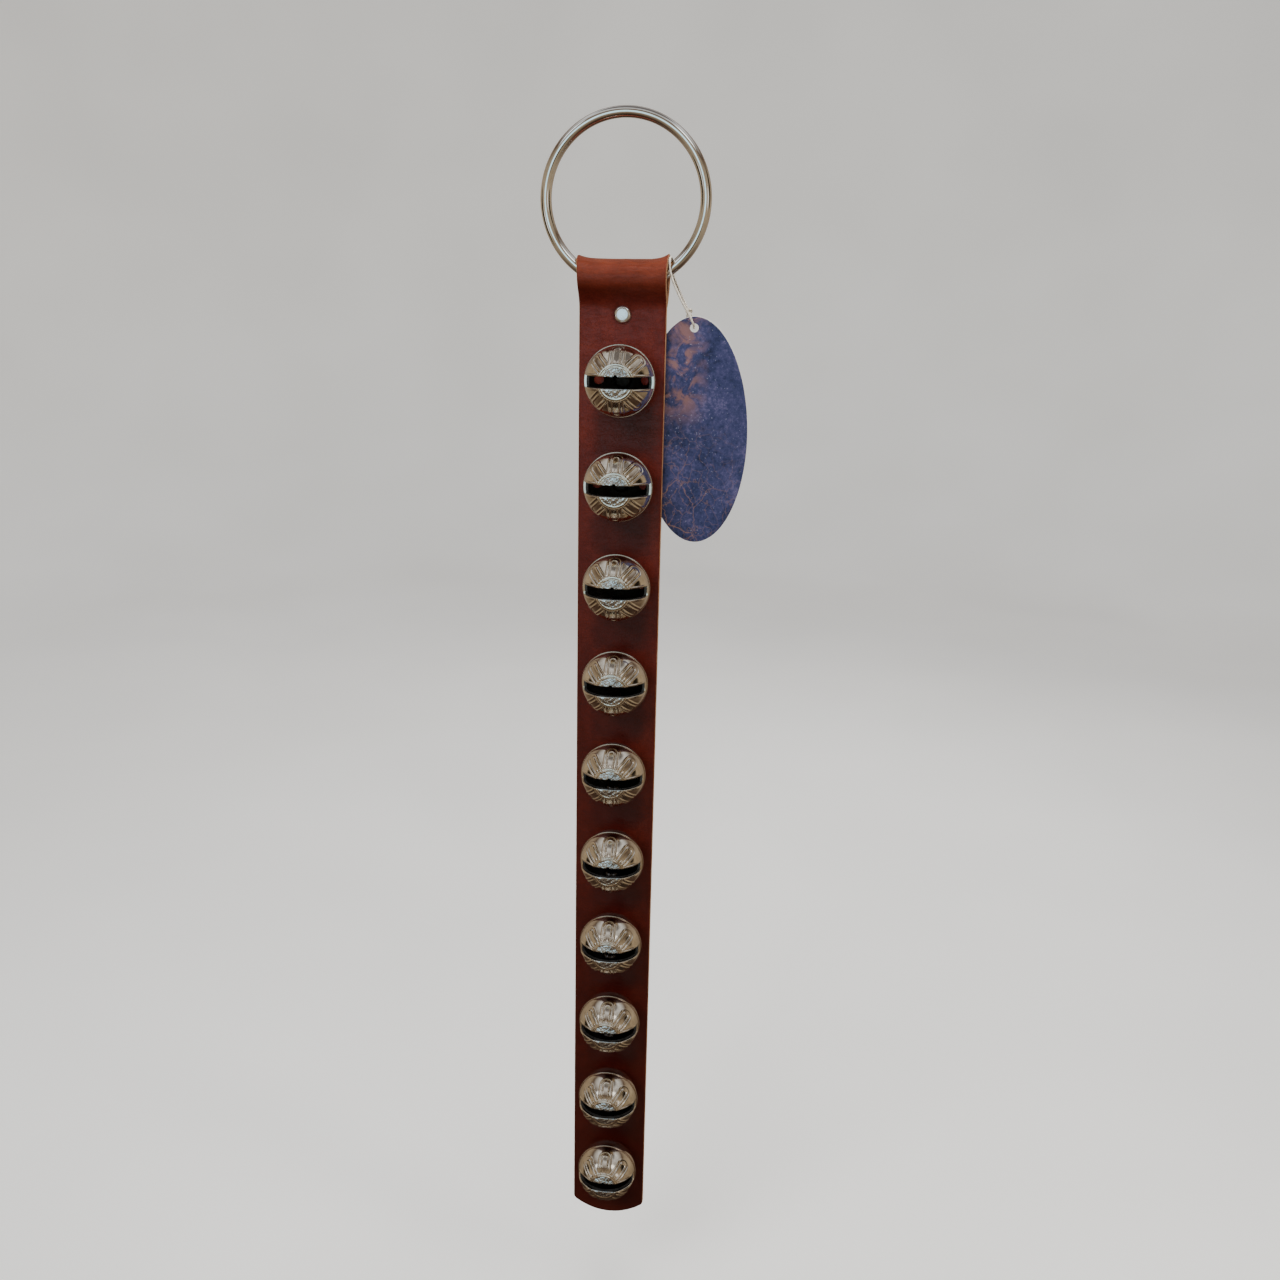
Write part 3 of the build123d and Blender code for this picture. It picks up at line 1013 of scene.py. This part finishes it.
    # slot's floor at each end
    start = outerXs[-1] - edge
    wallXs = [outerXs[-1]] + [start + (innerXs[-1] - start) * step for step in (0, 0.33, 0.67, 1.0)]
    for side in (1, -1):
        rows = []
        for x in wallXs:
            reach = math.hypot(x, half)
            row = []
            for c in range(bell["floorColumns"] + 1):
                z = half * (1 - 2 * c / bell["floorColumns"])
                row.append((side * math.sqrt(reach ** 2 - z * z), -floorOut, z))
            rows.append(row)
        parts.append(grid(rows, flip=side < 0))
    # band below the slot's floor, all the way round: dome, waist ridge, seam, rebate, hollow
    turns = spread(floorRadius, half + edge, bell["columns"]) + across(floorRadius)
    turns += [t + math.pi for t in turns]
    profile = [(floorRadius, floorOut)]
    for share in (0.66, 0.33, 0.0):
        polar = floorPolar + (math.pi / 2 - floorPolar) * (1 - share)
        profile.append((domeRadius * math.sin(polar), ridgeOut + domeTall * math.cos(polar)))
    r = bell["ridgeRound"]
    for a in [0] + arcAngles(math.pi / 2, 3):
        profile.append((ridgeRadius - r + r * math.sin(a), ridgeOut - r + r * math.cos(a)))
    for a in [0] + arcAngles(math.pi / 2, 3):
        profile.append((ridgeRadius - r + r * math.cos(a), seamOut + r - r * math.sin(a)))
    lip = hollowRadius + bell["lipReach"]
    profile += [(lip, seamOut), (lip, rebateTop), (hollowRadius, rebateTop)]

    def band(radius, out, turns):
        return [(radius * math.cos(t), -out, radius * math.sin(t)) for t in turns + turns[:1]]

    parts.append(grid([band(radius, out, turns) for radius, out in profile], flip=True))
    # hollow's wall up to the slot floor, with the inner halves' own columns
    turns = spread(innerFloorRadius, half, bell["innerColumns"]) + across(innerFloorRadius)[1:-1]
    turns += [t + math.pi for t in turns]
    parts.append(grid([band(hollowRadius, rebateTop, turns), band(innerFloorRadius, floorOut, turns)]))
    return weld(*joinParts(parts))


def flip(surface, radius, turn, sign):
    # the lower half is the upper one turned over, but its pattern stays that of the dome
    point = surface(radius, turn if sign > 0 else -turn)
    return Vector((point.x, point.y, sign * point.z))


def castFinish(name, dark, light, metal, rough):
    # bare sand-cast surface
    return roughFinish(
        name, (0.35, 5.0, 0.7), (3.0, 3.0), 0.6, [(0.32, dark), (0.68, light)],
        (0.2, 0.8, rough, rough + 0.2), (0.7, 0.12), metal,
    )


bellNickel = platingFinish("bellNickel", (0.84, 0.79, 0.70), (0.50, 0.41, 0.30), 0.06, 0.26, 0.14)
# the disc's rougher finish is real; its bluish tint is a painted reflection of the cool light
discNickel = platingFinish("discNickel", (0.80, 0.86, 0.90), (0.22, 0.23, 0.25), 0.12, 0.34, 1.0)
ridgeNickel = platingFinish("ridgeNickel", (0.52, 0.42, 0.36), (0.34, 0.26, 0.20), 0.16, 0.34, 0.2)
# inside of the bells: bare casting, darkened further as painted shade of the hollow
castHollow = castFinish("castHollow", (0.012, 0.010, 0.009), (0.050, 0.043, 0.036), 0.5, 0.55)
castWall = castFinish("castWall", (0.02, 0.02, 0.02), (0.26, 0.26, 0.26), 0.9, 0.45)


def shellKind(centre):
    # 0 plated outside, 1 the hollow, 2 the slot's walls, 3 the rough disc in the middle, 4 the ridge
    radius, out = math.hypot(centre.x, centre.z), -centre.y
    if out < rebateTop + 0.01 and radius < hollowRadius + 1.2:
        return 1
    if math.hypot(radius / hollowRadius, (out - rebateTop) / innerTall) < 1.012:
        return 1
    inSlot = abs(centre.z) < bell["slotWidth"] / 2 + 0.02
    nearNick = abs(centre.x) < bell["nickRadius"] and 0 < centre.z < bell["slotWidth"] / 2 + 0.85
    shell = math.hypot(radius / domeRadius, (out - ridgeOut) / domeTall)
    if shell < 0.955 and (inSlot or nearNick) and out > seamOut + bell["slotOverSeam"] - 0.05:
        return 2
    if out < ridgeOut + 0.02 and radius > hollowRadius + 1.2:
        return 4
    return 3 if radius < domeRadius * math.sin(math.radians(bell["ringAngles"][0] - 2)) else 0


def setShells(mesh, name, node):
    # the same casting at each bell's place
    for bellName, z in zip(bellNames, bellZ):
        piece = addObject(name + bellName[-2:], mesh)
        piece.location = Vector((bellX, leatherFront, z)) * mm
        finishPiece(piece, "strap", [bellName + node])


def makeBells():
    master = meshOf("petalShell", *frontShellMesh(), sharp=60)
    kinds = [shellKind(face.center / mm) for face in master.polygons]
    dress(master, (bellNickel, castHollow, castWall, discNickel, ridgeNickel), kinds)
    setShells(master, "petalShell", "_front_shell")
    print("petal shell", len(master.vertices), "points")


makeBells()
print("bells done")


rearShell = {
    "seatRadius": 5.5,
    "wall": 2.4,
    "lipTall": 1.3,
    "lipThick": 1.1,
    "shank": 1.95,
    "coreHole": 1.9,
    "coreFromAxis": 10.0,
    "around": 128,
}
rivet = {
    "flat": 0.55,
    "shank": 1.9,
    "peened": 2.6,
    "peenedTall": 0.8,
    "burr": 1.0,
    "bellHead": (4.0, 1.5),
    "around": 48,
    "hammered": 0.07,
}


def shapeCut(mesh, cutters):
    # takes closed shapes out of a mesh
    body = addObject("cutBody", mesh)
    tools = []
    for cutter in cutters:
        tool = addObject("cutTool", cutter)
        modifier = body.modifiers.new("cut", "BOOLEAN")
        modifier.object = tool
        modifier.operation = "DIFFERENCE"
        modifier.solver = "EXACT"
        tools.append(tool)
    bpy.context.view_layer.update()
    result = bpy.data.meshes.new_from_object(body.evaluated_get(bpy.context.evaluated_depsgraph_get()))
    for made in tools + [body]:
        bpy.data.objects.remove(made)
    return result


def rearShellMesh():
    depth = seamOut / math.sqrt(1 - (rearShell["seatRadius"] / domeRadius) ** 2)
    wall = rearShell["wall"]
    first = math.asin(seamOut / depth)
    profile = []
    for k in range(22):
        a = first * (1 - k / 21)
        profile.append((domeRadius * math.cos(a), seamOut - depth * math.sin(a)))
    lip = hollowRadius + rearShell["lipThick"]
    top = seamOut + rearShell["lipTall"]
    profile += [(lip, seamOut), (lip, top), (hollowRadius, top)]
    floor = math.asin((seamOut - wall) / (depth - wall))
    for k in range(18):
        a = floor * k / 17
        profile.append((hollowRadius * math.cos(a), seamOut - (depth - wall) * math.sin(a)))
    profile += [(rearShell["shank"], wall), (rearShell["shank"], 0)]
    shell = meshOf("rearShell", *lathe(profile, rearShell["around"]))
    cutters = []
    for side in (-1, 1):
        rows = []
        for out in (-1.0, seamOut - 0.5):
            rows.append([
                (side * rearShell["coreFromAxis"] + rearShell["coreHole"] * math.cos(2 * math.pi * k / 32),
                 -out, rearShell["coreHole"] * math.sin(2 * math.pi * k / 32))
                for k in range(33)
            ])
        points, faces = weld(*grid(rows))
        ends = [[i for i, p in enumerate(points) if abs(p[1] + out) < 1e-6] for out in (-1.0, seamOut - 0.5)]
        for end in ends:
            end.sort(key=lambda i: math.atan2(points[i][2], points[i][0] - side * rearShell["coreFromAxis"]))
            faces.append(tuple(end))
        cutters.append(meshOf("coreHole", points, faces))
    cut = shapeCut(shell, cutters)
    tidyMesh(cut, 40)
    cut.materials.clear()
    depthInside = depth - wall

    def kind(centre):
        radius, out = math.hypot(centre.x, centre.z), -centre.y
        inside = math.hypot(radius / hollowRadius, (seamOut - out) / depthInside) < 1.012
        return 1 if inside or (out > seamOut - 0.01 and radius < lip + 0.05) else 0

    dress(cut, (bellNickel, castHollow), [kind(face.center / mm) for face in cut.polygons])
    return cut


def rivetProfile(headOut, headRadius, headTall, backOut):
    # (radius, out), from the head's middle round to the hammered end's middle
    flat, rim = headRadius * rivet["flat"], headRadius - 0.1
    profile = [(0, headOut + headTall), (flat, headOut + headTall)]
    for a in arcAngles(math.pi / 2, 8):
        profile.append((flat + (rim - flat) * math.sin(a), headOut + 0.2 + (headTall - 0.2) * math.cos(a)))
    shank, end = rivet["shank"], rivet["peened"]
    profile += [(headRadius, headOut + 0.1), (rim, headOut), (shank, headOut)]
    profile += [(shank, backOut), (end - 0.08, backOut), (end, backOut - 0.1)]
    flat, tall = end * rivet["flat"], rivet["peenedTall"] - 0.1
    for a in [math.pi / 2 * k / 7 for k in range(6, -1, -1)]:
        profile.append((flat + (end - flat) * math.sin(a), backOut - 0.1 - tall * math.cos(a)))
    profile.append((0, backOut - rivet["peenedTall"]))
    return profile


def burrProfile(frontOut, radius):
    # a washer with rolled edges and a slight dish
    back = frontOut - rivet["burr"]
    inner = rivet["shank"]
    return [
        (inner, frontOut), (radius - 0.2, frontOut), (radius - 0.06, frontOut - 0.06), (radius, frontOut - 0.22),
        (radius, back + 0.30), (radius - 0.08, back + 0.10), (radius - 0.28, back),
        (inner + 0.9, back + 0.02), (inner + 0.35, back + 0.14), (inner, back + 0.24),
    ]


def placed(points, x, z, seed):
    # moves a turned shape to its place and gives its hammered end a few dents
    moved = []
    for px, py, pz in points:
        if py > leather * 0.9 and math.hypot(px, pz) < rivet["peened"] + 0.1:
            dent = noise.noise(Vector((px * 0.9 + seed * 3.7, pz * 0.9, seed * 1.9)))
            py -= rivet["hammered"] * (1 + dent)
        moved.append((px + x, py + leatherFront, pz + z))
    return moved


def ballFinish():
    finish = Finish("ballSteel")
    where = finish.place()
    scuff = finish.noise(where, 1.2, 6.0, 0.7)
    dots = finish.clamp(finish.noise(where, 0.5, 2.0), 0.62, 0.72)
    steel = finish.ramp(scuff, (0.3, (0.10, 0.10, 0.11)), (0.7, (0.20, 0.20, 0.21)))
    return finish.wear(
        Base_Color=finish.mix(dots * 0.5, steel, (0.2, 0.17, 0.14, 1)),
        Metallic=1.0,
        Roughness=finish.clamp(scuff + dots * 0.3, 0.3, 1.0, 0.18, 0.50),
        Normal=finish.bump(dots, 0.3, 0.03),
    )


def makeBalls():
    steel = ballFinish()
    for name in bellNames:
        low, high = [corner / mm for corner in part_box(name + "_pellet")]
        radius = (high.x - low.x) / 2
        profile = []
        for k in range(33):
            a = math.pi * k / 32
            # a faint flat band is left where the halves of the header met
            reach = radius * (1 - 0.004 * math.exp(-((a - math.pi / 2) / 0.09) ** 2))
            profile.append((reach * math.sin(a), reach * math.cos(a)))
        points, faces = weld(*lathe(profile, 64, closed=False))
        middle = (low + high) / 2
        points = [Vector(point) + middle for point in points]
        makePiece(
            "ball" + name[-2:], points, faces, "pellet" + name[4:], "pellet_steel", [steel], [name + "_pellet"],
        )


def rivetFinish():
    finish = Finish("rivetNickel")
    where = finish.place()
    haze = finish.noise(where, 0.8, 5.0, 0.65)
    scratch = finish.noise(finish.place((1, 1, 6)), 0.9, 4.0, 0.6)
    tarnish = finish.clamp(finish.noise(where, 2.2, 3.0), 0.52, 0.72)
    colour = finish.mix(tarnish * 0.5, (0.86, 0.88, 0.90, 1), (0.50, 0.46, 0.42, 1))
    return finish.wear(
        Base_Color=colour,
        Metallic=1.0,
        Roughness=finish.clamp(haze * 0.6 + scratch * 0.4, 0.3, 0.7, 0.14, 0.30),
        Normal=finish.bump(scratch, 0.25, 0.04),
    )


def makeRivets():
    nickel = rivetFinish()
    # inside a bell the head is dull, and painted dark as the shade inside the bell
    shadedDull = castFinish("dullHead", (0.030, 0.028, 0.026), (0.085, 0.080, 0.074), 0.8, 0.45)
    around = rivet["around"]
    head = (headHigh.x - headLow.x) / 2
    tall = leatherFront - headLow.y
    backOut = leatherFront - loopBurrHigh.y
    points, faces = lathe(rivetProfile(0, head, tall, backOut), around, closed=False)
    points, faces = weld(placed(points, 0, rivetZ, 0), faces)
    makePiece("loopRivet", points, faces, "strap", "rivet_metal", [nickel], ["loop_rivet"])
    burrRadius = (burrHigh.x - burrLow.x) / 2
    points, faces = lathe(burrProfile(leatherFront - loopBurrLow.y, burrRadius), around)
    points = placed(points, 0, rivetZ, 0)
    makePiece("loopBurr", points, faces, "strap", "rivet_metal", [nickel], ["loop_rivet_burr"])
    heads, burrs = [], []
    backOut = leatherFront - burrHigh.y
    for seed, z in enumerate(bellZ, start=1):
        profile = rivetProfile(rearShell["wall"], *rivet["bellHead"], backOut)
        points, faces = lathe(profile, around, closed=False)
        heads.append(weld(placed(points, bellX, z, seed), faces))
        points, faces = lathe(burrProfile(leatherFront - burrLow.y, burrRadius), around)
        burrs.append((placed(points, bellX, z, seed), faces))
    points, faces = joinParts(heads)
    kinds = [int(sum(points[i][1] for i in face) < len(face) * leatherFront) for face in faces]
    makePiece("bellRivets", points, faces, "strap", "rivet_metal", [nickel, shadedDull], ["bell_rivets"], kinds)
    makePiece("bellBurrs", *joinParts(burrs), "strap", "rivet_metal", [nickel], ["bell_rivet_burrs"])


setShells(rearShellMesh(), "rearShell", "_rear_shell")
makeBalls()
makeRivets()
print("rear shells, balls and rivets done")


tag = {
    "holeRadius": 1.8,
    "holeInset": 4.8,
    "lean": 2.0,
    "size": (47.0, 99.0),
    "edgeRound": 0.1,
    "around": 192,
    "rings": 30,
    "curl": 0.9,          # mm, how far the free side bends back
}


def tagPrint():
    # a winter sky with bare twigs and blurred blossom colours
    finish = Finish("tagPrint")
    where = finish.place()
    wash = finish.noise(where, 16.0, 5.0, 0.6, 0.6)
    fleck = finish.noise(where, 1.6, 6.0, 0.75)
    colour = finish.ramp(
        wash * 0.45 + fleck * 0.55,
        (0.34, (0.006, 0.008, 0.022)), (0.46, (0.024, 0.030, 0.078)), (0.54, (0.040, 0.042, 0.105)),
        (0.70, (0.125, 0.110, 0.21)),
    )
    rose = finish.clamp(finish.noise(where, 9.0, 4.0, 0.6, 1.0), 0.44, 0.56)
    high, across = finish.part("Z"), finish.part("X")
    left = finish.clamp(across, (tagMiddle.x - 4) * mm, (tagMiddle.x + 6) * mm, 1.0, 0.0)
    upper = finish.clamp(high, (tagMiddle.z + 2) * mm, (tagMiddle.z + 14) * mm) * left
    colour = finish.mix(rose * upper * 0.75, colour, (0.21, 0.108, 0.095, 1))
    # twigs wander: the place is pushed about by a noise, up to some millimetres
    push = finish.node("ShaderNodeTexNoise", {}, {"Vector": where, "Scale": 150.0, "Detail": 3.0}, out="Color")
    push = finish.node("ShaderNodeVectorMath", {"operation": "SCALE"}, {0: push, "Scale": 0.008})
    bent = finish.node("ShaderNodeVectorMath", {"operation": "ADD"}, {0: where, 1: push})
    bent = finish.node("ShaderNodeMapping", {}, {"Vector": bent, "Scale": (1.0, 1.0, 0.62)})
    lower = finish.clamp(high, (tagMiddle.z - 30) * mm, (tagMiddle.z + 10) * mm, 1.0, 0.0)
    lower = lower * finish.clamp(across, (tagMiddle.x - 8) * mm, (tagMiddle.x + 22) * mm, 1.0, 0.15)
    for size, width, share in ((13.0, 0.016, 0.75), (5.5, 0.028, 0.5)):
        twigs = finish.node(
            "ShaderNodeTexVoronoi", {"feature": "DISTANCE_TO_EDGE"}, {"Vector": bent, "Scale": 1 / (size * mm)}
        )
        line = finish.clamp(twigs, width * 0.3, width, 1.0, 0.0)
        colour = finish.mix(line * lower * share, colour, (0.21, 0.115, 0.085, 1))
    snow = finish.clamp(finish.noise(where, 0.9, 1.0, 0.5), 0.70, 0.76)
    colour = finish.mix(snow * 0.35, colour, (0.30, 0.30, 0.40, 1))
    return finish.wear(
        Base_Color=colour,
        Roughness=finish.clamp(fleck, 0.3, 0.7, 0.42, 0.6),
        Specular_IOR_Level=0.2,
        Normal=finish.bump(fleck, 0.12, 0.04),
    )


def cardFinish(name, dark, light):
    return roughFinish(
        name, (0.5, 6.0, 0.8), (9.0, 3.0), 0.5, [(0.3, dark), (0.7, light)],
        (0.3, 0.7, 0.75, 0.92), (0.35, 0.06),
    )


tagLow, tagHigh = [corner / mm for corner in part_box("tag")]
tagMiddle = (tagLow + tagHigh) / 2


def makeTag():
    lean = math.radians(tag["lean"])
    wide, tall = tag["size"][0] / 2, tag["size"][1] / 2
    holeUp = tall - tag["holeInset"]
    count = tag["around"]

    def outline(turn, inset):
        # where a ray from the hole's middle leaves the ellipse
        dx, dz = math.cos(turn), math.sin(turn)
        a, b = wide - inset, tall - inset
        qa = (dx / a) ** 2 + (dz / b) ** 2
        qb = 2 * holeUp * dz / b ** 2
        qc = (holeUp / b) ** 2 - 1
        return (-qb + math.sqrt(qb * qb - 4 * qa * qc)) / (2 * qa)

    # rays are spread so that they meet the ellipse at even steps
    even = []
    for k in range(count):
        a = 2 * math.pi * k / count
        even.append(math.atan2(tall * math.sin(a) - holeUp, wide * math.cos(a)))
    r = tag["edgeRound"]

    def point(turn, reach, y):
        x, z = reach * math.cos(turn), holeUp + reach * math.sin(turn)
        turnedX = x * math.cos(lean) - z * math.sin(lean)
        turnedZ = x * math.sin(lean) + z * math.cos(lean)
        px = tagMiddle.x + turnedX
        free = max(0, (px - strapWidth / 2 - 3) / (tagHigh.x - strapWidth / 2))
        return px, y + tag["curl"] * free ** 2, tagMiddle.z + turnedZ

    front, back = tagLow.y, tagHigh.y
    rim = tag["holeRadius"]

    def reachAt(turn, share):
        return rim + r + (outline(turn, r) - rim - r) * share

    rows = []
    shares = [(k / tag["rings"]) ** 1.5 for k in range(tag["rings"] + 1)]
    bends = arcAngles(math.pi / 2, 3)

    def cutEdge(bends, y, sign, atHole):
        # rows round the outer edge or the hole's edge; sign is 1 off the front and -1 off the back
        for a in bends:
            inset, level = r - r * math.sin(a), y + sign * (r - r * math.cos(a))
            rows.append([point(t, rim + inset if atHole else outline(t, inset), level) for t in even])

    for share in shares:
        rows.append([point(t, reachAt(t, share), front) for t in even])
    cutEdge(bends, front, 1, False)
    cutEdge(bends[::-1], back, -1, False)
    for share in shares[::-1]:
        rows.append([point(t, reachAt(t, share), back) for t in even])
    cutEdge(bends, back, -1, True)
    cutEdge(bends[::-1], front, 1, True)
    points = [p for row in rows for p in row]
    faces = loopFaces(len(rows), count, closed=True)
    # 0 the printed front, 1 the back, 2 the cut edges
    flat = len(shares) - 1
    kinds = []
    for i in range(len(rows)):
        kinds += [0 if i < flat else 1 if flat + 7 <= i < 2 * flat + 7 else 2] * count
    makePiece(
        "printedTag", points, faces, "tag", "tag_card",
        [tagPrint(), cardFinish("tagBack", (0.52, 0.49, 0.43), (0.66, 0.63, 0.57)),
         cardFinish("tagEdge", (0.55, 0.54, 0.52), (0.75, 0.74, 0.72))],
        ["tag"], kinds,
    )


makeTag()
print("tag done")


studio = {
    "floorBelow": 60.0,     # mm under the strap's end
    "wallFar": 2600.0,
    "wallTall": 3200.0,
    "coveRadius": 900.0,
    "worldStrength": 0.8,
    # soft panels round the object: toward, full within, gone by (degrees), tint
    "panels": [
        ((0.0, 1.0, 0.1), 20, 60, (0.36, 0.28, 0.22)),
        ((-0.14, -0.97, 0.06), 11, 16, (1.15, 1.65, 1.85)),
        ((0.24, -0.94, -0.16), 6, 9, (0.01, 0.01, 0.01)),
        ((0.42, -0.62, 0.62), 5, 10, (3.0, 3.0, 2.9)),
        ((-0.55, -0.60, 0.55), 4, 9, (2.2, 2.3, 2.4)),
        ((-0.95, -0.20, -0.10), 14, 20, (0.02, 0.015, 0.01)),
        ((-0.72, -0.68, -0.10), 4, 7, (1.5, 1.5, 1.5)),
        ((0.93, -0.15, 0.20), 12, 18, (0.02, 0.015, 0.01)),
        ((0.66, -0.74, 0.10), 4, 7, (1.6, 1.6, 1.6)),
    ],
}


def stageFinish():
    finish = Finish("stage")
    where = finish.place()
    cloud = finish.noise(where, 300.0, 2.0)
    colour = finish.ramp(cloud, (0.3, (0.60, 0.60, 0.59)), (0.7, (0.64, 0.64, 0.63)))
    return finish.wear(Base_Color=colour, Roughness=0.9, Emission_Color=colour, Emission_Strength=0.75)


def makeStage():
    # a round floor that curves up into a pale wall, far behind any view of the object
    floorZ = strapLow.z - studio["floorBelow"]
    far, bend = studio["wallFar"], studio["coveRadius"]
    side = [(1.0, floorZ), (far - bend, floorZ)]
    for k in range(1, 25):
        a = math.pi / 2 * k / 24
        side.append((far - bend + bend * math.sin(a), floorZ + bend - bend * math.cos(a)))
    side.append((far, floorZ + studio["wallTall"]))
    rows = []
    for k in range(97):
        turn = 2 * math.pi * k / 96
        rows.append([(radius * math.cos(turn), radius * math.sin(turn), z) for radius, z in side])
    points, faces = weld(*grid(rows, flip=True))
    mesh = bpy.data.meshes.new("stageCove")
    mesh.from_pydata([tuple(mm * c for c in p) for p in points], [], faces)
    for face in mesh.polygons:
        face.use_smooth = True
    dress(mesh, [stageFinish()])
    cove = addObject("stageCove", mesh)
    # the plating and the leather take their light from the studio and not from the cove
    cove.visible_glossy = False
    cove.visible_diffuse = False


def softBox(name, place, aim, size, power, colour):
    data = bpy.data.lights.new(name, "AREA")
    data.shape = "RECTANGLE"
    data.size, data.size_y = [s * mm for s in size]
    data.energy = power
    data.color = colour
    lamp = addObject(name, data)
    lamp.location = Vector(place) * mm
    lamp.rotation_euler = (Vector(aim) - Vector(place)).to_track_quat("-Z", "Y").to_euler()
    lamp.visible_glossy = False    # the world's panels are what the plating mirrors


def makeWorld():
    world = bpy.data.worlds.new("studio")
    bpy.context.scene.world = world
    sky = Finish("studio", world)
    background = sky.tree.nodes.get("Background")
    toward = sky.node("ShaderNodeTexCoord", out="Generated")

    def lobe(direction, first, last):
        # 1 toward a direction, 0 away from it; first and last in degrees from it
        aim = tuple(Vector(direction).normalized())
        dot = sky.node("ShaderNodeVectorMath", {"operation": "DOT_PRODUCT"}, {0: toward, 1: aim}, out="Value")
        return sky.clamp(dot, math.cos(math.radians(last)), math.cos(math.radians(first)))

    height = sky.node("ShaderNodeSeparateXYZ", {}, {"Vector": toward}, out="Z")
    colour = sky.ramp(
        height * 0.5 + 0.5,
        (0.0, (0.03, 0.02, 0.015)), (0.14, (0.10, 0.06, 0.04)), (0.30, (0.34, 0.26, 0.17)),
        (0.52, (0.54, 0.42, 0.275)), (0.68, (0.42, 0.33, 0.225)), (0.78, (0.14, 0.09, 0.06)),
        (0.85, (0.50, 0.46, 0.42)), (0.93, (0.95, 0.95, 0.95)), (0.96, (0.22, 0.20, 0.19)),
    )
    for direction, first, last, tint in studio["panels"]:
        colour = sky.mix(lobe(direction, first, last), colour, (*tint, 1))
    sky.tree.links.new(colour.socket, background.inputs["Color"])
    background.inputs["Strength"].default_value = studio["worldStrength"]


makeStage()
makeWorld()
softBox("keySoftBox", (-420, -760, 420), (0, 0, -260), (520, 420), 9.0, (0.98, 0.99, 1.0))
softBox("topSoftBox", (60, -220, 560), (0, 0, -250), (500, 300), 6.0, (1.0, 0.99, 0.97))
softBox("backSoftBox", (300, 900, 260), (0, 0, -260), (600, 500), 7.0, (1.0, 0.99, 0.97))
softBox("rightStrip", (560, -260, -180), (0, -10, -260), (120, 900), 3.0, (1.0, 0.95, 0.88))
print("stage done")
